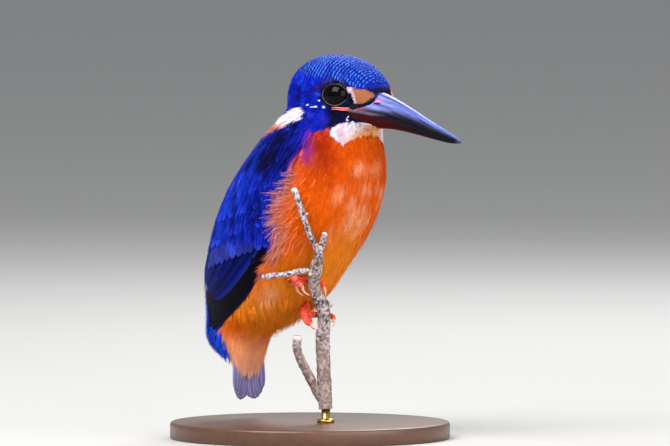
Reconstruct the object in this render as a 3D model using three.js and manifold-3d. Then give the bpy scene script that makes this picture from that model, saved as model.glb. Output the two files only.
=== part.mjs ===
// A blue-eared kingfisher perched on a cut stem, with a flat stand, in millimetres.
// +Z is up, the bird looks along -Y, and its right side is at -X. The origin is the
// centre of the stand's underside. Every solid is faceted and closed.

import * as THREE from 'three';
import { mergeVertices } from 'three/addons/utils/BufferGeometryUtils.js';
import Module from 'manifold-3d';

const wasm = await Module();
wasm.setup();

// ---------------------------------------------------------------- driving dimensions

const GAP = 0.3;                  // clearance between neighbouring pieces
const FACET_TOLERANCE = 0.03;     // how far a facet may stray when tiny ones are joined

// Body outline at each height: breast line, back line and half the width.
const BODY = [
  { z: 109.0, front: -15.5, back: -7.0, half: 3.5 },
  { z: 105.0, front: -20.5, back: 1.0, half: 8.2 },
  { z: 100.0, front: -24.6, back: 5.2, half: 11.2 },
  { z: 95.2, front: -26.2, back: 8.6, half: 13.4 },
  { z: 91.6, front: -25.2, back: 12.4, half: 15.4 },
  { z: 87.8, front: -25.4, back: 15.8, half: 17.3 },
  { z: 80.6, front: -25.8, back: 22.0, half: 19.8 },
  { z: 73.2, front: -24.0, back: 27.4, half: 21.1 },
  { z: 65.0, front: -20.4, back: 31.8, half: 21.2 },
  { z: 57.2, front: -14.6, back: 35.0, half: 20.4 },
  { z: 49.2, front: -8.3, back: 38.2, half: 18.4 },
  { z: 42.4, front: -3.6, back: 39.8, half: 15.4 },
  { z: 36.4, front: 6.6, back: 40.2, half: 12.3 },
  { z: 34.0, front: 10.6, back: 41.0, half: 11.0 },
  { z: 31.6, front: 16.8, back: 41.6, half: 9.6 },
  { z: 27.0, front: 20.6, back: 41.0, half: 8.6 },
  { z: 22.6, front: 22.0, back: 36.4, half: 7.5 },
  { z: 18.4, front: 23.8, back: 30.6, half: 5.0 },
];
const BODY_SIDES = 26;
const BODY_RINGS = 28;
const BODY_FULLNESS = 2.15;       // 2 is an ellipse, more is squarer

// Head outline at each distance along Y, from the nape to the root of the bill.
const HEAD = [
  { y: 5.6, top: 103.4, low: 97.6, half: 2.4 },
  { y: 3.6, top: 107.6, low: 94.6, half: 6.2 },
  { y: -0.4, top: 112.4, low: 92.0, half: 9.9 },
  { y: -6.0, top: 115.2, low: 90.4, half: 12.2 },
  { y: -12.0, top: 115.8, low: 90.4, half: 12.5 },
  { y: -18.0, top: 115.0, low: 91.2, half: 11.7 },
  { y: -23.0, top: 113.0, low: 92.4, half: 10.2 },
  { y: -27.0, top: 110.0, low: 93.2, half: 8.5 },
  { y: -30.0, top: 107.0, low: 93.8, half: 6.3 },
  { y: -31.8, top: 104.2, low: 94.8, half: 4.2 },
];
const HEAD_SIDES = 22;
const HEAD_RINGS = 18;
const HEAD_FULLNESS = 2.3;

// Bill outline: ridge of the upper half, line where the halves meet, keel of the lower.
const BILL = [
  { y: -24.9, ridge: 105.2, meet: 99.4, keel: 95.0, half: 8.9 },
  { y: -26.6, ridge: 105.3, meet: 99.2, keel: 94.4, half: 7.9 },
  { y: -29.3, ridge: 105.0, meet: 98.8, keel: 94.0, half: 6.0 },
  { y: -35.0, ridge: 103.4, meet: 98.0, keel: 93.9, half: 4.25 },
  { y: -44.0, ridge: 99.8, meet: 95.9, keel: 92.7, half: 2.9 },
  { y: -52.0, ridge: 96.3, meet: 93.8, keel: 91.4, half: 2.0 },
  { y: -60.0, ridge: 93.0, meet: 91.7, keel: 90.4, half: 0.9 },
  { y: -63.4, ridge: 91.3, meet: 90.9, keel: 90.5, half: 0.25 },
];
const BILL_RINGS = 15;
const BILL_STEPS = 8;             // facets round the arch of one half
const BILL_PINCH = 0.16;          // how far the arch leans in towards the ridge
const BILL_ARCH = 1.15;           // 1 is a round arch, more is a sharper ridge
const BILL_SEAM = 0.15;           // half the gap between the two halves

const EYE_RADIUS = 4.0;
const EYE_CENTRE = new THREE.Vector3(8.4, -20.1, 103.9);

const WING_THICKNESS = 1.8;
const WING_INNER_X = 5.2;         // bare strip of back between the wings, each side
const WING_OUTLINE = [            // seen from the side, as y and z, round a closed curve
  [30, 96], [6, 93.2], [-2.4, 88.6], [-4.4, 82], [-2.4, 74], [-1.2, 65], [0.2, 55],
  [6.6, 47.2], [13.6, 40.8], [24, 33.4], [35, 30.2], [50, 38], [50, 70],
];
const WING_OUTLINE_POINTS = 44;
const WING_REACH = 40;            // depth of the zone that the wing is cut from

const TAIL_THICKNESS = 1.6;
const TAIL_Y = 26.2;
const TAIL_OUTLINE = [            // half the width and the height, from its root to its notch
  [5.7, 30], [6.9, 24], [6.9, 18.4], [6.1, 14.4], [4.6, 11.6], [2.6, 10.8], [0.9, 11.2], [0, 11.8],
];
const TAIL_POINTS = 14;           // points along each half of the outline
const TAIL_LOW_Z = 10;            // a height below the tail

const SIDES = [['right', -1], ['left', 1]];
const TRUNK_CUTS = [              // y, z and lean of the cuts between the trunk's parts
  [-5, 90.5, 0.35], [2, 64, 0.25], [22, 40, 0.5],
];
const VENT_CUT_TOP = 52;
const PLATE = 200;                // wider than the bird
const SMALLEST_PART = 50;         // cubic millimetres; anything less is a sliver

const STEM = [                    // axis and radius of the main stem, from its cut end up
  { x: -0.9, y: -7.6, z: 9.2, r: 2.05 },
  { x: -1.2, y: -7.3, z: 16.2, r: 2.1 },
  { x: -1.4, y: -7.1, z: 23.1, r: 2.05 },
  { x: -1.6, y: -7.1, z: 30.7, r: 2.15 },
  { x: -2.0, y: -7.9, z: 35.2, r: 1.9 },
  { x: -3.4, y: -8.9, z: 40.0, r: 2.0 },
  { x: -6.4, y: -8.8, z: 44.4, r: 1.75 },
  { x: -8.2, y: -9.9, z: 48.0, r: 1.75 },
  { x: -9.6, y: -12.0, z: 51.4, r: 2.0 },
  { x: -10.4, y: -14.0, z: 54.8, r: 1.5 },
  { x: -10.8, y: -14.8, z: 56.4, r: 1.1 },
];
const TWIG_UPPER = [
  { x: -10.6, y: -14.5, z: 54.4, r: 1.0 },
  { x: -11.2, y: -14.6, z: 57.2, r: 1.0 },
  { x: -12.6, y: -14.4, z: 59.4, r: 0.95 },
  { x: -14.9, y: -14.3, z: 63.4, r: 0.9 },
  { x: -17.1, y: -14.3, z: 67.9, r: 0.9 },
  { x: -19.1, y: -14.2, z: 72.4, r: 0.9 },
  { x: -20.6, y: -13.8, z: 76.4, r: 1.05 },
];
const STUB_UPPER = [
  { x: -10.4, y: -14.6, z: 55.0, r: 0.9 },
  { x: -11.0, y: -16.4, z: 59.9, r: 0.85 },
  { x: -11.3, y: -17.7, z: 62.9, r: 0.95 },
];
const TWIG_SIDE = [
  { x: -9.4, y: -11.8, z: 50.9, r: 0.9 },
  { x: -12.0, y: -9.8, z: 51.1, r: 0.85 },
  { x: -15.0, y: -6.8, z: 50.3, r: 0.8 },
  { x: -18.1, y: -3.4, z: 49.7, r: 0.8 },
  { x: -20.5, y: -0.2, z: 49.2, r: 0.85 },
];
const STUB_LOWER = [
  { x: -1.6, y: -6.6, z: 11.8, r: 1.3 },
  { x: -3.0, y: -6.0, z: 14.2, r: 1.35 },
  { x: -5.7, y: -5.7, z: 18.6, r: 1.35 },
  { x: -8.3, y: -5.1, z: 23.2, r: 1.35 },
  { x: -10.1, y: -4.8, z: 27.0, r: 1.3 },
  { x: -10.7, y: -5.4, z: 31.2, r: 1.35 },
];

const BASE_RADIUS = 42;
const BASE_HEIGHT = 5;
const BASE_EDGE = 0.9;            // round-over of the base's top edge
const ROD_RADIUS = 1.3;
const COLLAR_RADIUS = 2.6;
const COLLAR_HEIGHT = 1.2;
const COLLAR_SLOPE = 0.4;         // height of the collar's sloping shoulder
const BASE_SIDES = 48;
const ROD_SIDES = 20;
const EDGE_STEPS = 3;             // facets round the base's top edge

// ---------------------------------------------------------------- helpers

const lerp = THREE.MathUtils.lerp;

// One value of a station list at a fraction of its length, along a smooth curve.
function smoothValue(stations, key, fraction) {
  const place = fraction * (stations.length - 1);
  const start = Math.min(Math.floor(place), stations.length - 2);
  const t = place - start;
  const at = (i) => stations[THREE.MathUtils.clamp(i, 0, stations.length - 1)][key];
  const [p0, p1, p2, p3] = [at(start - 1), at(start), at(start + 1), at(start + 2)];
  const slope1 = (p2 - p0) / 2;
  const slope2 = (p3 - p1) / 2;
  const rise = p2 - p1;
  return p1 + t * slope1 + t * t * (3 * rise - 2 * slope1 - slope2)
    + t * t * t * (slope1 + slope2 - 2 * rise);
}

// A closed geometry through rings of points, with a flat cap at each end.
function loft(rings) {
  const sides = rings[0].length;
  const positions = [];
  const index = [];
  for (const ring of rings) {
    for (const point of ring) positions.push(point.x, point.y, point.z);
  }
  for (let r = 0; r < rings.length - 1; r += 1) {
    for (let s = 0; s < sides; s += 1) {
      const a = r * sides + s;
      const b = r * sides + (s + 1) % sides;
      index.push(a, b, a + sides, b, b + sides, a + sides);
    }
  }
  for (const [r, turned] of [[0, true], [rings.length - 1, false]]) {
    const centre = new THREE.Vector3();
    for (const point of rings[r]) centre.add(point);
    centre.divideScalar(sides);
    const middle = positions.length / 3;
    positions.push(centre.x, centre.y, centre.z);
    for (let s = 0; s < sides; s += 1) {
      const a = r * sides + s;
      const b = r * sides + (s + 1) % sides;
      if (turned) index.push(middle, b, a);
      else index.push(middle, a, b);
    }
  }
  const geometry = new THREE.BufferGeometry();
  geometry.setAttribute('position', new THREE.Float32BufferAttribute(positions, 3));
  geometry.setIndex(index);
  return geometry;
}

// The manifold solid of a closed geometry.
function solid(geometry) {
  geometry.deleteAttribute('normal');
  geometry.deleteAttribute('uv');
  const merged = mergeVertices(geometry, 1e-4);
  const made = new wasm.Manifold(new wasm.Mesh({
    numProp: 3,
    vertProperties: new Float32Array(merged.attributes.position.array),
    triVerts: new Uint32Array(merged.index.array),
  }));
  if (made.volume() < 0) throw new Error('a solid is inside out');
  return made;
}

// The biggest single body of a manifold, without the slivers and tiny facets that a cut leaves.
function largest(manifold) {
  const bodies = manifold.decompose();
  bodies.sort((a, b) => b.volume() - a.volume());
  return bodies[0].asOriginal().simplify(FACET_TOLERANCE);
}

function geometryOf(manifold) {
  const mesh = manifold.getMesh();
  const geometry = new THREE.BufferGeometry();
  geometry.setAttribute('position', new THREE.BufferAttribute(mesh.vertProperties, 3));
  geometry.setIndex(new THREE.BufferAttribute(mesh.triVerts, 1));
  return geometry;
}

// A point at an angle on a rounded oval: angle 0 is at +across, a quarter turn at +along.
function oval(angle, across, along, fullness) {
  const c = Math.cos(angle);
  const s = Math.sin(angle);
  const size = (Math.abs(c) ** fullness + Math.abs(s) ** fullness) ** (-1 / fullness);
  return [across * c * size, along * s * size];
}

// A tube of changing radius along a smooth curve through its stations.
function tube(stations, sides, rings, grow = 0) {
  const curve = new THREE.CatmullRomCurve3(
    stations.map((s) => new THREE.Vector3(s.x, s.y, s.z)), false, 'centripetal');
  const frames = curve.computeFrenetFrames(rings, false);
  const outline = [];
  for (let r = 0; r <= rings; r += 1) {
    const u = r / rings;
    const centre = curve.getPointAt(u);
    if (r === 0) centre.addScaledVector(frames.tangents[0], -grow);
    if (r === rings) centre.addScaledVector(frames.tangents[rings], grow);
    const radius = smoothValue(stations, 'r', curve.getUtoTmapping(u)) + grow;
    const ring = [];
    for (let s = 0; s < sides; s += 1) {
      const angle = (s / sides) * 2 * Math.PI;
      ring.push(centre.clone()
        .addScaledVector(frames.normals[r], radius * Math.cos(angle))
        .addScaledVector(frames.binormals[r], radius * Math.sin(angle)));
    }
    outline.push(ring);
  }
  return solid(loft(outline));
}

// A thin plate across the whole bird, which parts one piece from the next.
function slab(y, z, lean) {
  const plate = new THREE.BoxGeometry(PLATE, PLATE, GAP);
  plate.rotateX(lean);
  plate.translate(0, y, z);
  return solid(plate);
}

// The upright cut between the rump and the feathers under the tail.
function ventCut() {
  const plate = new THREE.BoxGeometry(PLATE, GAP, VENT_CUT_TOP - TAIL_LOW_Z);
  plate.translate(0, TAIL_Y + TAIL_THICKNESS / 2 + GAP / 2, (VENT_CUT_TOP + TAIL_LOW_Z) / 2);
  return solid(plate);
}

// ---------------------------------------------------------------- body

// The whole body without the head's front, drawn in by a depth below the plumage.
function bodySolid(depth) {
  const rings = [];
  for (let r = 0; r < BODY_RINGS; r += 1) {
    const u = 1 - r / (BODY_RINGS - 1);
    const front = smoothValue(BODY, 'front', u);
    const back = smoothValue(BODY, 'back', u);
    const half = Math.max(smoothValue(BODY, 'half', u) - depth, 0.5);
    const long = Math.max((back - front) / 2 - depth, 0.5);
    const middle = (back + front) / 2;
    const ring = [];
    for (let s = 0; s < BODY_SIDES; s += 1) {
      const angle = (s / BODY_SIDES) * 2 * Math.PI;
      const [x, y] = oval(angle, half, long, BODY_FULLNESS);
      ring.push(new THREE.Vector3(x, middle + y, smoothValue(BODY, 'z', u)));
    }
    rings.push(ring);
  }
  return solid(loft(rings));
}

function headSolid(grow) {
  const rings = [];
  for (let r = 0; r < HEAD_RINGS; r += 1) {
    const u = r / (HEAD_RINGS - 1);
    const top = smoothValue(HEAD, 'top', u) + grow;
    const low = smoothValue(HEAD, 'low', u) - grow;
    const half = smoothValue(HEAD, 'half', u) + grow;
    let y = smoothValue(HEAD, 'y', u);
    if (r === 0) y += grow;
    if (r === HEAD_RINGS - 1) y -= grow;
    const ring = [];
    for (let s = 0; s < HEAD_SIDES; s += 1) {
      const angle = (s / HEAD_SIDES) * 2 * Math.PI;
      const [x, z] = oval(angle, half, (top - low) / 2, HEAD_FULLNESS);
      ring.push(new THREE.Vector3(x, y, (top + low) / 2 + z));
    }
    rings.push(ring);
  }
  return solid(loft(rings));
}

// One half of the bill: its section is a low arch from the meeting line to an edge.
function billSolid(edge, side, grow) {
  const rings = [];
  for (let r = 0; r < BILL_RINGS; r += 1) {
    const u = r / (BILL_RINGS - 1);
    const meet = smoothValue(BILL, 'meet', u) + side * (BILL_SEAM - grow);
    const rise = smoothValue(BILL, edge, u) + side * grow - meet;
    const half = smoothValue(BILL, 'half', u) + grow;
    const y = smoothValue(BILL, 'y', u);
    const ring = [];
    for (let s = 0; s <= BILL_STEPS; s += 1) {
      const angle = (s / BILL_STEPS) * Math.PI;
      ring.push(new THREE.Vector3(
        half * Math.cos(angle) * (1 - BILL_PINCH * Math.sin(angle)),
        y,
        meet + rise * Math.sin(angle) ** BILL_ARCH));
    }
    if (side < 0) ring.reverse();
    rings.push(ring);
  }
  return solid(loft(rings));
}

function eyeSolid(side, grow) {
  const ball = new THREE.SphereGeometry(EYE_RADIUS + grow, 16, 10);
  ball.translate(side * EYE_CENTRE.x, EYE_CENTRE.y, EYE_CENTRE.z);
  return solid(ball);
}

// ---------------------------------------------------------------- wings and tail

// Everything outside the bare back strip and inside the wing's outline, on one side.
function wingZone(side, grow) {
  const outline = new THREE.CatmullRomCurve3(
    WING_OUTLINE.map(([y, z]) => new THREE.Vector3(y, z, 0)), true, 'centripetal');
  const points = [];
  for (let i = 0; i < WING_OUTLINE_POINTS; i += 1) {
    const u = i / WING_OUTLINE_POINTS;
    const along = outline.getTangentAt(u);
    const point = outline.getPointAt(u);
    points.push(new THREE.Vector2(point.x + along.y * grow, point.y - along.x * grow));
  }
  const prism = new THREE.ExtrudeGeometry(new THREE.Shape(points), {
    depth: WING_REACH, bevelEnabled: false,
  });
  // the outline's plane is turned so that its first axis runs along Y and its depth along X
  const turn = new THREE.Matrix4().makeBasis(
    new THREE.Vector3(0, 1, 0), new THREE.Vector3(0, 0, 1), new THREE.Vector3(1, 0, 0));
  prism.applyMatrix4(turn);
  const inner = WING_INNER_X - grow;
  prism.translate(side > 0 ? inner : -inner - WING_REACH, 0, 0);
  return solid(prism);
}

function tailSolid(grow) {
  const edge = new THREE.CatmullRomCurve3(
    TAIL_OUTLINE.map(([x, z]) => new THREE.Vector3(x, z, 0)), false, 'centripetal');
  const right = [];
  for (let i = 0; i < TAIL_POINTS; i += 1) {
    const u = i / TAIL_POINTS;
    const along = edge.getTangentAt(u);
    const point = edge.getPointAt(u);
    right.push(new THREE.Vector2(
      point.x - along.y * grow, point.y + along.x * grow + (i === 0 ? grow : 0)));
  }
  const [, notch] = TAIL_OUTLINE[TAIL_OUTLINE.length - 1];
  const left = right.map((point) => new THREE.Vector2(-point.x, point.y)).reverse();
  const shape = new THREE.Shape([...right, new THREE.Vector2(0, notch - grow), ...left]);
  const thick = TAIL_THICKNESS + 2 * grow;
  const plate = new THREE.ExtrudeGeometry(shape, { depth: thick, bevelEnabled: false });
  plate.rotateX(Math.PI / 2);
  plate.translate(0, TAIL_Y + thick / 2, 0);
  return solid(plate);
}

// ---------------------------------------------------------------- feet

// A point beside the stem: a height on it, a compass angle round it and a distance out.
function besideStem(z, angle, out, r) {
  let x = 0;
  let y = 0;
  for (let i = 0; i < STEM.length - 1; i += 1) {
    const low = STEM[i];
    const high = STEM[i + 1];
    if (z >= low.z && z <= high.z) {
      const t = (z - low.z) / (high.z - low.z);
      x = lerp(low.x, high.x, t);
      y = lerp(low.y, high.y, t);
    }
  }
  const turn = THREE.MathUtils.degToRad(angle);
  return { x: x + out * Math.cos(turn), y: y + out * Math.sin(turn), z, r };
}

const TOE = 1.0;                  // radius of a toe at its root
const TOE_END = 0.75;             // and where its claw begins
const CLAW = 0.55;                // radius of a claw at its root
const CLAW_TIP = 0.12;
const FEET = {                    // toes and claws as heights, compass angles and distances
  right: {
    shank: [
      { x: -9.0, y: 1.6, z: 51.0, r: 1.1 },
      { x: -10.6, y: -3.4, z: 48.8, r: 1.15 },
      besideStem(47.7, 136, 4.1, 1.45),
    ],
    toes: [
      [[47.7, 137, 4.2], [47.9, 105, 3.5], [48.0, 55, 3.0], [47.2, 5, 3.0], [45.8, -33, 2.9]],
      [[47.8, 141, 5.0], [47.0, 150, 4.4], [46.2, 160, 3.8]],
      [[48.0, 130, 6.0], [47.2, 131, 5.7], [46.4, 134, 5.2]],
    ],
    claws: [
      [[46.0, -30, 2.9], [44.4, -40, 3.0], [43.2, -48, 2.45]],
      [[46.4, 158, 3.9], [44.7, 165, 3.9], [43.5, 178, 2.9]],
      [[46.6, 133, 5.3], [44.7, 137, 5.2], [43.3, 147, 4.2]],
    ],
  },
  left: {
    shank: [
      { x: 3.0, y: 5.2, z: 41.6, r: 1.2 },
      { x: -0.8, y: 1.2, z: 39.6, r: 1.35 },
      besideStem(36.9, 137, 5.4, 1.6),
    ],
    toes: [
      [[37.4, 136, 4.8], [37.4, 100, 3.4], [37.4, 50, 3.2], [37.0, 0, 3.2], [36.0, -38, 3.1]],
      [[37.0, 138, 5.6], [35.6, 148, 5.4], [34.5, 164, 4.2]],
      [[36.8, 132, 4.9], [35.8, 134, 4.4], [35.0, 142, 3.7]],
    ],
    claws: [
      [[36.2, -34, 3.1], [34.8, -48, 3.15], [33.8, -60, 2.7]],
      [[34.7, 161, 4.4], [33.7, 176, 3.8], [33.3, 194, 2.85]],
      [[35.2, 140, 3.8], [33.9, 150, 3.7], [33.0, 164, 3.0]],
    ],
  },
};

function footSolid(foot, grow) {
  let made = tube(foot.shank, 8, 5, grow);
  for (const path of foot.toes) {
    const stations = path.map(([z, angle, out], i) => besideStem(
      z, angle, out, lerp(TOE, TOE_END, i / (path.length - 1))));
    made = made.add(tube(stations, 7, 6, grow));
  }
  for (const path of foot.claws) {
    const stations = path.map(([z, angle, out], i) => besideStem(
      z, angle, out, lerp(CLAW, CLAW_TIP, i / (path.length - 1))));
    made = made.add(tube(stations, 5, 4, grow));
  }
  return made;
}

// ---------------------------------------------------------------- stand

function baseGeometry() {
  const profile = [
    new THREE.Vector2(0, 0),
    new THREE.Vector2(BASE_RADIUS, 0),
    new THREE.Vector2(BASE_RADIUS, BASE_HEIGHT - BASE_EDGE),
  ];
  for (let s = 1; s <= EDGE_STEPS; s += 1) {
    const angle = (s / EDGE_STEPS) * (Math.PI / 2);
    profile.push(new THREE.Vector2(
      BASE_RADIUS - BASE_EDGE + BASE_EDGE * Math.cos(angle),
      BASE_HEIGHT - BASE_EDGE + BASE_EDGE * Math.sin(angle)));
  }
  profile.push(new THREE.Vector2(0, BASE_HEIGHT));
  const disc = new THREE.LatheGeometry(profile, BASE_SIDES);
  disc.rotateX(Math.PI / 2);
  return disc;
}

function rodGeometry() {
  const foot = BASE_HEIGHT + GAP;
  const top = STEM[0].z - GAP;
  const profile = [
    new THREE.Vector2(0, foot),
    new THREE.Vector2(COLLAR_RADIUS, foot),
    new THREE.Vector2(COLLAR_RADIUS, foot + COLLAR_HEIGHT),
    new THREE.Vector2(ROD_RADIUS, foot + COLLAR_HEIGHT + COLLAR_SLOPE),
    new THREE.Vector2(ROD_RADIUS, top),
    new THREE.Vector2(0, top),
  ];
  const rod = new THREE.LatheGeometry(profile, ROD_SIDES);
  rod.rotateX(Math.PI / 2);
  rod.translate(STEM[0].x, STEM[0].y, 0);
  return rod;
}

// ---------------------------------------------------------------- assembly

const skinOf = (color, roughness) => new THREE.MeshStandardMaterial({
  color, roughness, metalness: 0,
});
const BLUE = skinOf(0x1424b4, 0.55);
const AZURE = skinOf(0x1e5ae6, 0.5);
const ORANGE = skinOf(0xd8590f, 0.75);
const DARK_BLUE = skinOf(0x0c1e78, 0.55);
const HORN = skinOf(0x14141e, 0.3);
const EYE_BLACK = skinOf(0x050508, 0.08);
const FOOT_RED = skinOf(0xe8402a, 0.5);
const BARK = skinOf(0x9a8c92, 0.85);
const WOOD = skinOf(0x4a2f1e, 0.5);
const BRASS = new THREE.MeshStandardMaterial({ color: 0xb08d4a, roughness: 0.35, metalness: 1 });

const kingfisher = new THREE.Group();
kingfisher.name = 'kingfisher_on_stand';

function place(name, manifold, material) {
  const mesh = new THREE.Mesh(geometryOf(largest(manifold)), material);
  mesh.name = name;
  kingfisher.add(mesh);
}

function placePlain(name, geometry, material) {
  const mesh = new THREE.Mesh(geometry, material);
  mesh.name = name;
  kingfisher.add(mesh);
}

const TRUNK_NAMES = [             // from the top down
  ['neck', BLUE], ['breast', ORANGE], ['belly', ORANGE], ['rump', AZURE], ['undertail', ORANGE],
];

// perch
const stem = tube(STEM, 10, 24);
const stemRoom = tube(STEM, 10, 24, GAP);
const twigSide = tube(TWIG_SIDE, 8, 10).subtract(stemRoom);
const twigUpper = tube(TWIG_UPPER, 8, 14).subtract(stemRoom);
const twigUpperRoom = tube(TWIG_UPPER, 8, 14, GAP);
const stubUpper = tube(STUB_UPPER, 8, 6).subtract(stemRoom).subtract(twigUpperRoom);
const stubLower = tube(STUB_LOWER, 8, 9).subtract(stemRoom);

// feet
const feet = {};
const feetRoom = {};
for (const [name] of SIDES) {
  feet[name] = footSolid(FEET[name], 0).subtract(stemRoom);
  feetRoom[name] = footSolid(FEET[name], GAP);
}

// head, bill and eyes
const billUpper = billSolid('ridge', 1, 0);
const billLower = billSolid('keel', -1, 0);
let head = headSolid(0)
  .subtract(billSolid('ridge', 1, GAP))
  .subtract(billSolid('keel', -1, GAP));
for (const [, side] of SIDES) head = head.subtract(eyeSolid(side, GAP));

// body with the wings let into its sides
const outer = bodySolid(0);
const innerWing = bodySolid(WING_THICKNESS - GAP);
const headRoom = headSolid(GAP);
const tail = tailSolid(0);
const wings = {};
let trunk = outer;
for (const [name, side] of SIDES) {
  wings[name] = outer.intersect(wingZone(side, 0)).subtract(innerWing).subtract(headRoom);
  trunk = trunk.subtract(wingZone(side, GAP));
}
trunk = trunk.add(bodySolid(WING_THICKNESS)).subtract(headRoom).subtract(tailSolid(GAP));
trunk = trunk.subtract(feetRoom.right).subtract(feetRoom.left);

// the trunk parted by thin tilted cuts
for (const [y, z, lean] of TRUNK_CUTS) trunk = trunk.subtract(slab(y, z, lean));
trunk = trunk.subtract(ventCut());
const parts = trunk.decompose().filter((part) => part.volume() > SMALLEST_PART);
const midHeight = (part) => {
  const box = part.boundingBox();
  return (box.min[2] + box.max[2]) / 2;
};
parts.sort((a, b) => midHeight(b) - midHeight(a));
if (parts.length !== TRUNK_NAMES.length) throw new Error(`the trunk has ${parts.length} parts`);

place('head', head, DARK_BLUE);
TRUNK_NAMES.forEach(([name, material], i) => place(name, parts[i], material));
place('tail', tail, BLUE);
place('bill_upper', billUpper, HORN);
place('bill_lower', billLower, HORN);
for (const [name, side] of SIDES) {
  place(`eye_${name}`, eyeSolid(side, 0), EYE_BLACK);
  place(`wing_${name}`, wings[name], BLUE);
  place(`foot_${name}`, feet[name], FOOT_RED);
}
place('perch_stem', stem, BARK);
place('perch_twig_side', twigSide, BARK);
place('perch_twig_upper', twigUpper, BARK);
place('perch_stub_upper', stubUpper, BARK);
place('perch_stub_lower', stubLower, BARK);
placePlain('stand_base', baseGeometry(), WOOD);
placePlain('stand_rod', rodGeometry(), BRASS);

export default kingfisher;
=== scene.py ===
"""A blue-eared kingfisher on a cut stem: skin, plumage, eyes, bill, feet, perch and stand.

Shapes are worked out in millimetres in the frame's axes (+Z up, the bird looks along -Y, its
right side is at -X) and are turned into metres when a mesh is made.
"""

import math

import bpy
import numpy as np
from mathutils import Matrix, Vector
from mathutils.bvhtree import BVHTree
from mathutils.kdtree import KDTree


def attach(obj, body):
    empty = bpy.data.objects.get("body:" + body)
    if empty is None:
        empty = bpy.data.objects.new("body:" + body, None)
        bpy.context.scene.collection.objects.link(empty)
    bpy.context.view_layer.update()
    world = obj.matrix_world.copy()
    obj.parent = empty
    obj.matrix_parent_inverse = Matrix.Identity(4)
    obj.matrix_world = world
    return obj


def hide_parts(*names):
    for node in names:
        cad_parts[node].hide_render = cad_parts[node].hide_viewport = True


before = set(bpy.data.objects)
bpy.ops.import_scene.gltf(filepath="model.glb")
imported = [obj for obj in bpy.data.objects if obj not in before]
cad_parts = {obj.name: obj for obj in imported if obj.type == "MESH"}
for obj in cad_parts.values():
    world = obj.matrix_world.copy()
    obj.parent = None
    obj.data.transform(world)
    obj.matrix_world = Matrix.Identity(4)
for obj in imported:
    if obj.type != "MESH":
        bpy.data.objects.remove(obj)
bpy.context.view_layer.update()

MM = 0.001
rng = np.random.default_rng(11)
RIGHT, LEFT = -1, 1
SIDES = ((RIGHT, "right"), (LEFT, "left"))

# ------------------------------------------------------------------ camera and lamps

IMAGE_WIDTH, IMAGE_HEIGHT = 670, 446
PIXEL = 0.30                       # millimetres of the object for each pixel of the image
ORIGIN_PIXEL = (310, 438)          # where the frame's origin falls in the image
CAMERA_AZIMUTH, CAMERA_RISE = -45, 3
CAMERA_DISTANCE = 4.0
SENSOR = 36.0
LAMP_TARGET = Vector((0, 0, 0.07))


def towards(azimuth, rise):
    """The direction from the bird to a camera or lamp, in degrees; azimuth 0 is its front."""
    a, b = math.radians(azimuth), math.radians(rise)
    return Vector((math.sin(a) * math.cos(b), -math.cos(a) * math.cos(b), math.sin(b)))


def placed(name, data, location, look):
    """An object for a camera's or lamp's data, which looks along a direction."""
    obj = bpy.data.objects.new(name, data)
    obj.location = location
    obj.rotation_euler = look.to_track_quat("-Z", "Y").to_euler()
    bpy.context.scene.collection.objects.link(obj)
    return obj


def make_camera():
    """A long lens on the photograph's line of sight, with the photograph's framing."""
    look = -towards(CAMERA_AZIMUTH, CAMERA_RISE)
    turn = math.radians(CAMERA_AZIMUTH)
    right = Vector((math.cos(turn), math.sin(turn), 0))
    across = (IMAGE_WIDTH / 2 - ORIGIN_PIXEL[0]) * PIXEL * MM
    above = (ORIGIN_PIXEL[1] - IMAGE_HEIGHT / 2) * PIXEL * MM
    data = bpy.data.cameras.new("camera")
    data.sensor_width = SENSOR
    data.lens = SENSOR * CAMERA_DISTANCE / (IMAGE_WIDTH * PIXEL * MM)
    data.clip_end = 100
    place = right * across + right.cross(look) * above - look * CAMERA_DISTANCE
    bpy.context.scene.camera = placed("camera", data, place, look)


def make_lamp(name, azimuth, rise, distance, size, power, colour=(1, 1, 1)):
    """A soft square lamp that faces the bird."""
    data = bpy.data.lights.new(name, "AREA")
    data.size = size
    data.energy = power
    data.color = colour
    away = towards(azimuth, rise)
    placed(name, data, LAMP_TARGET + away * distance, -away)


make_camera()

# ------------------------------------------------------------------ small mathematics


def linear(rgb):
    """Linear colour of an ordinary 0 to 255 one."""
    c = np.asarray(rgb, float) / 255
    return np.where(c <= 0.04045, c / 12.92, ((c + 0.055) / 1.055) ** 2.4)


def step(low, high, value):
    """0 below low, 1 above high, smooth between; the other way round where low is above high."""
    t = np.clip((value - low) / (high - low), 0, 1)
    return t * t * (3 - 2 * t)


def bell(value, middle, width):
    return np.exp(-((value - middle) / width) ** 2)


def unit(vectors):
    return vectors / np.maximum(np.linalg.norm(vectors, axis=-1, keepdims=True), 1e-9)


def tangent(vectors, normals):
    """The vectors laid into the planes that the normals stand on."""
    return unit(vectors - normals * (vectors * normals).sum(-1, keepdims=True))


def mix(a, b, amount):
    return a + (b - a) * np.asarray(amount)[..., None]


def painted(colour, *layers):
    """A colour with layers of (colour, amount) laid over it in turn."""
    for over, amount in layers:
        colour = mix(colour, over, amount)
    return colour


def stacked(*parts):
    """Rows of coordinates from arrays and numbers that broadcast together."""
    return np.stack(np.broadcast_arrays(*parts), -1)


def curve(places, values):
    """The function that joins values at rising places by straight lines."""
    return lambda at: np.interp(at, places, values)


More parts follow.
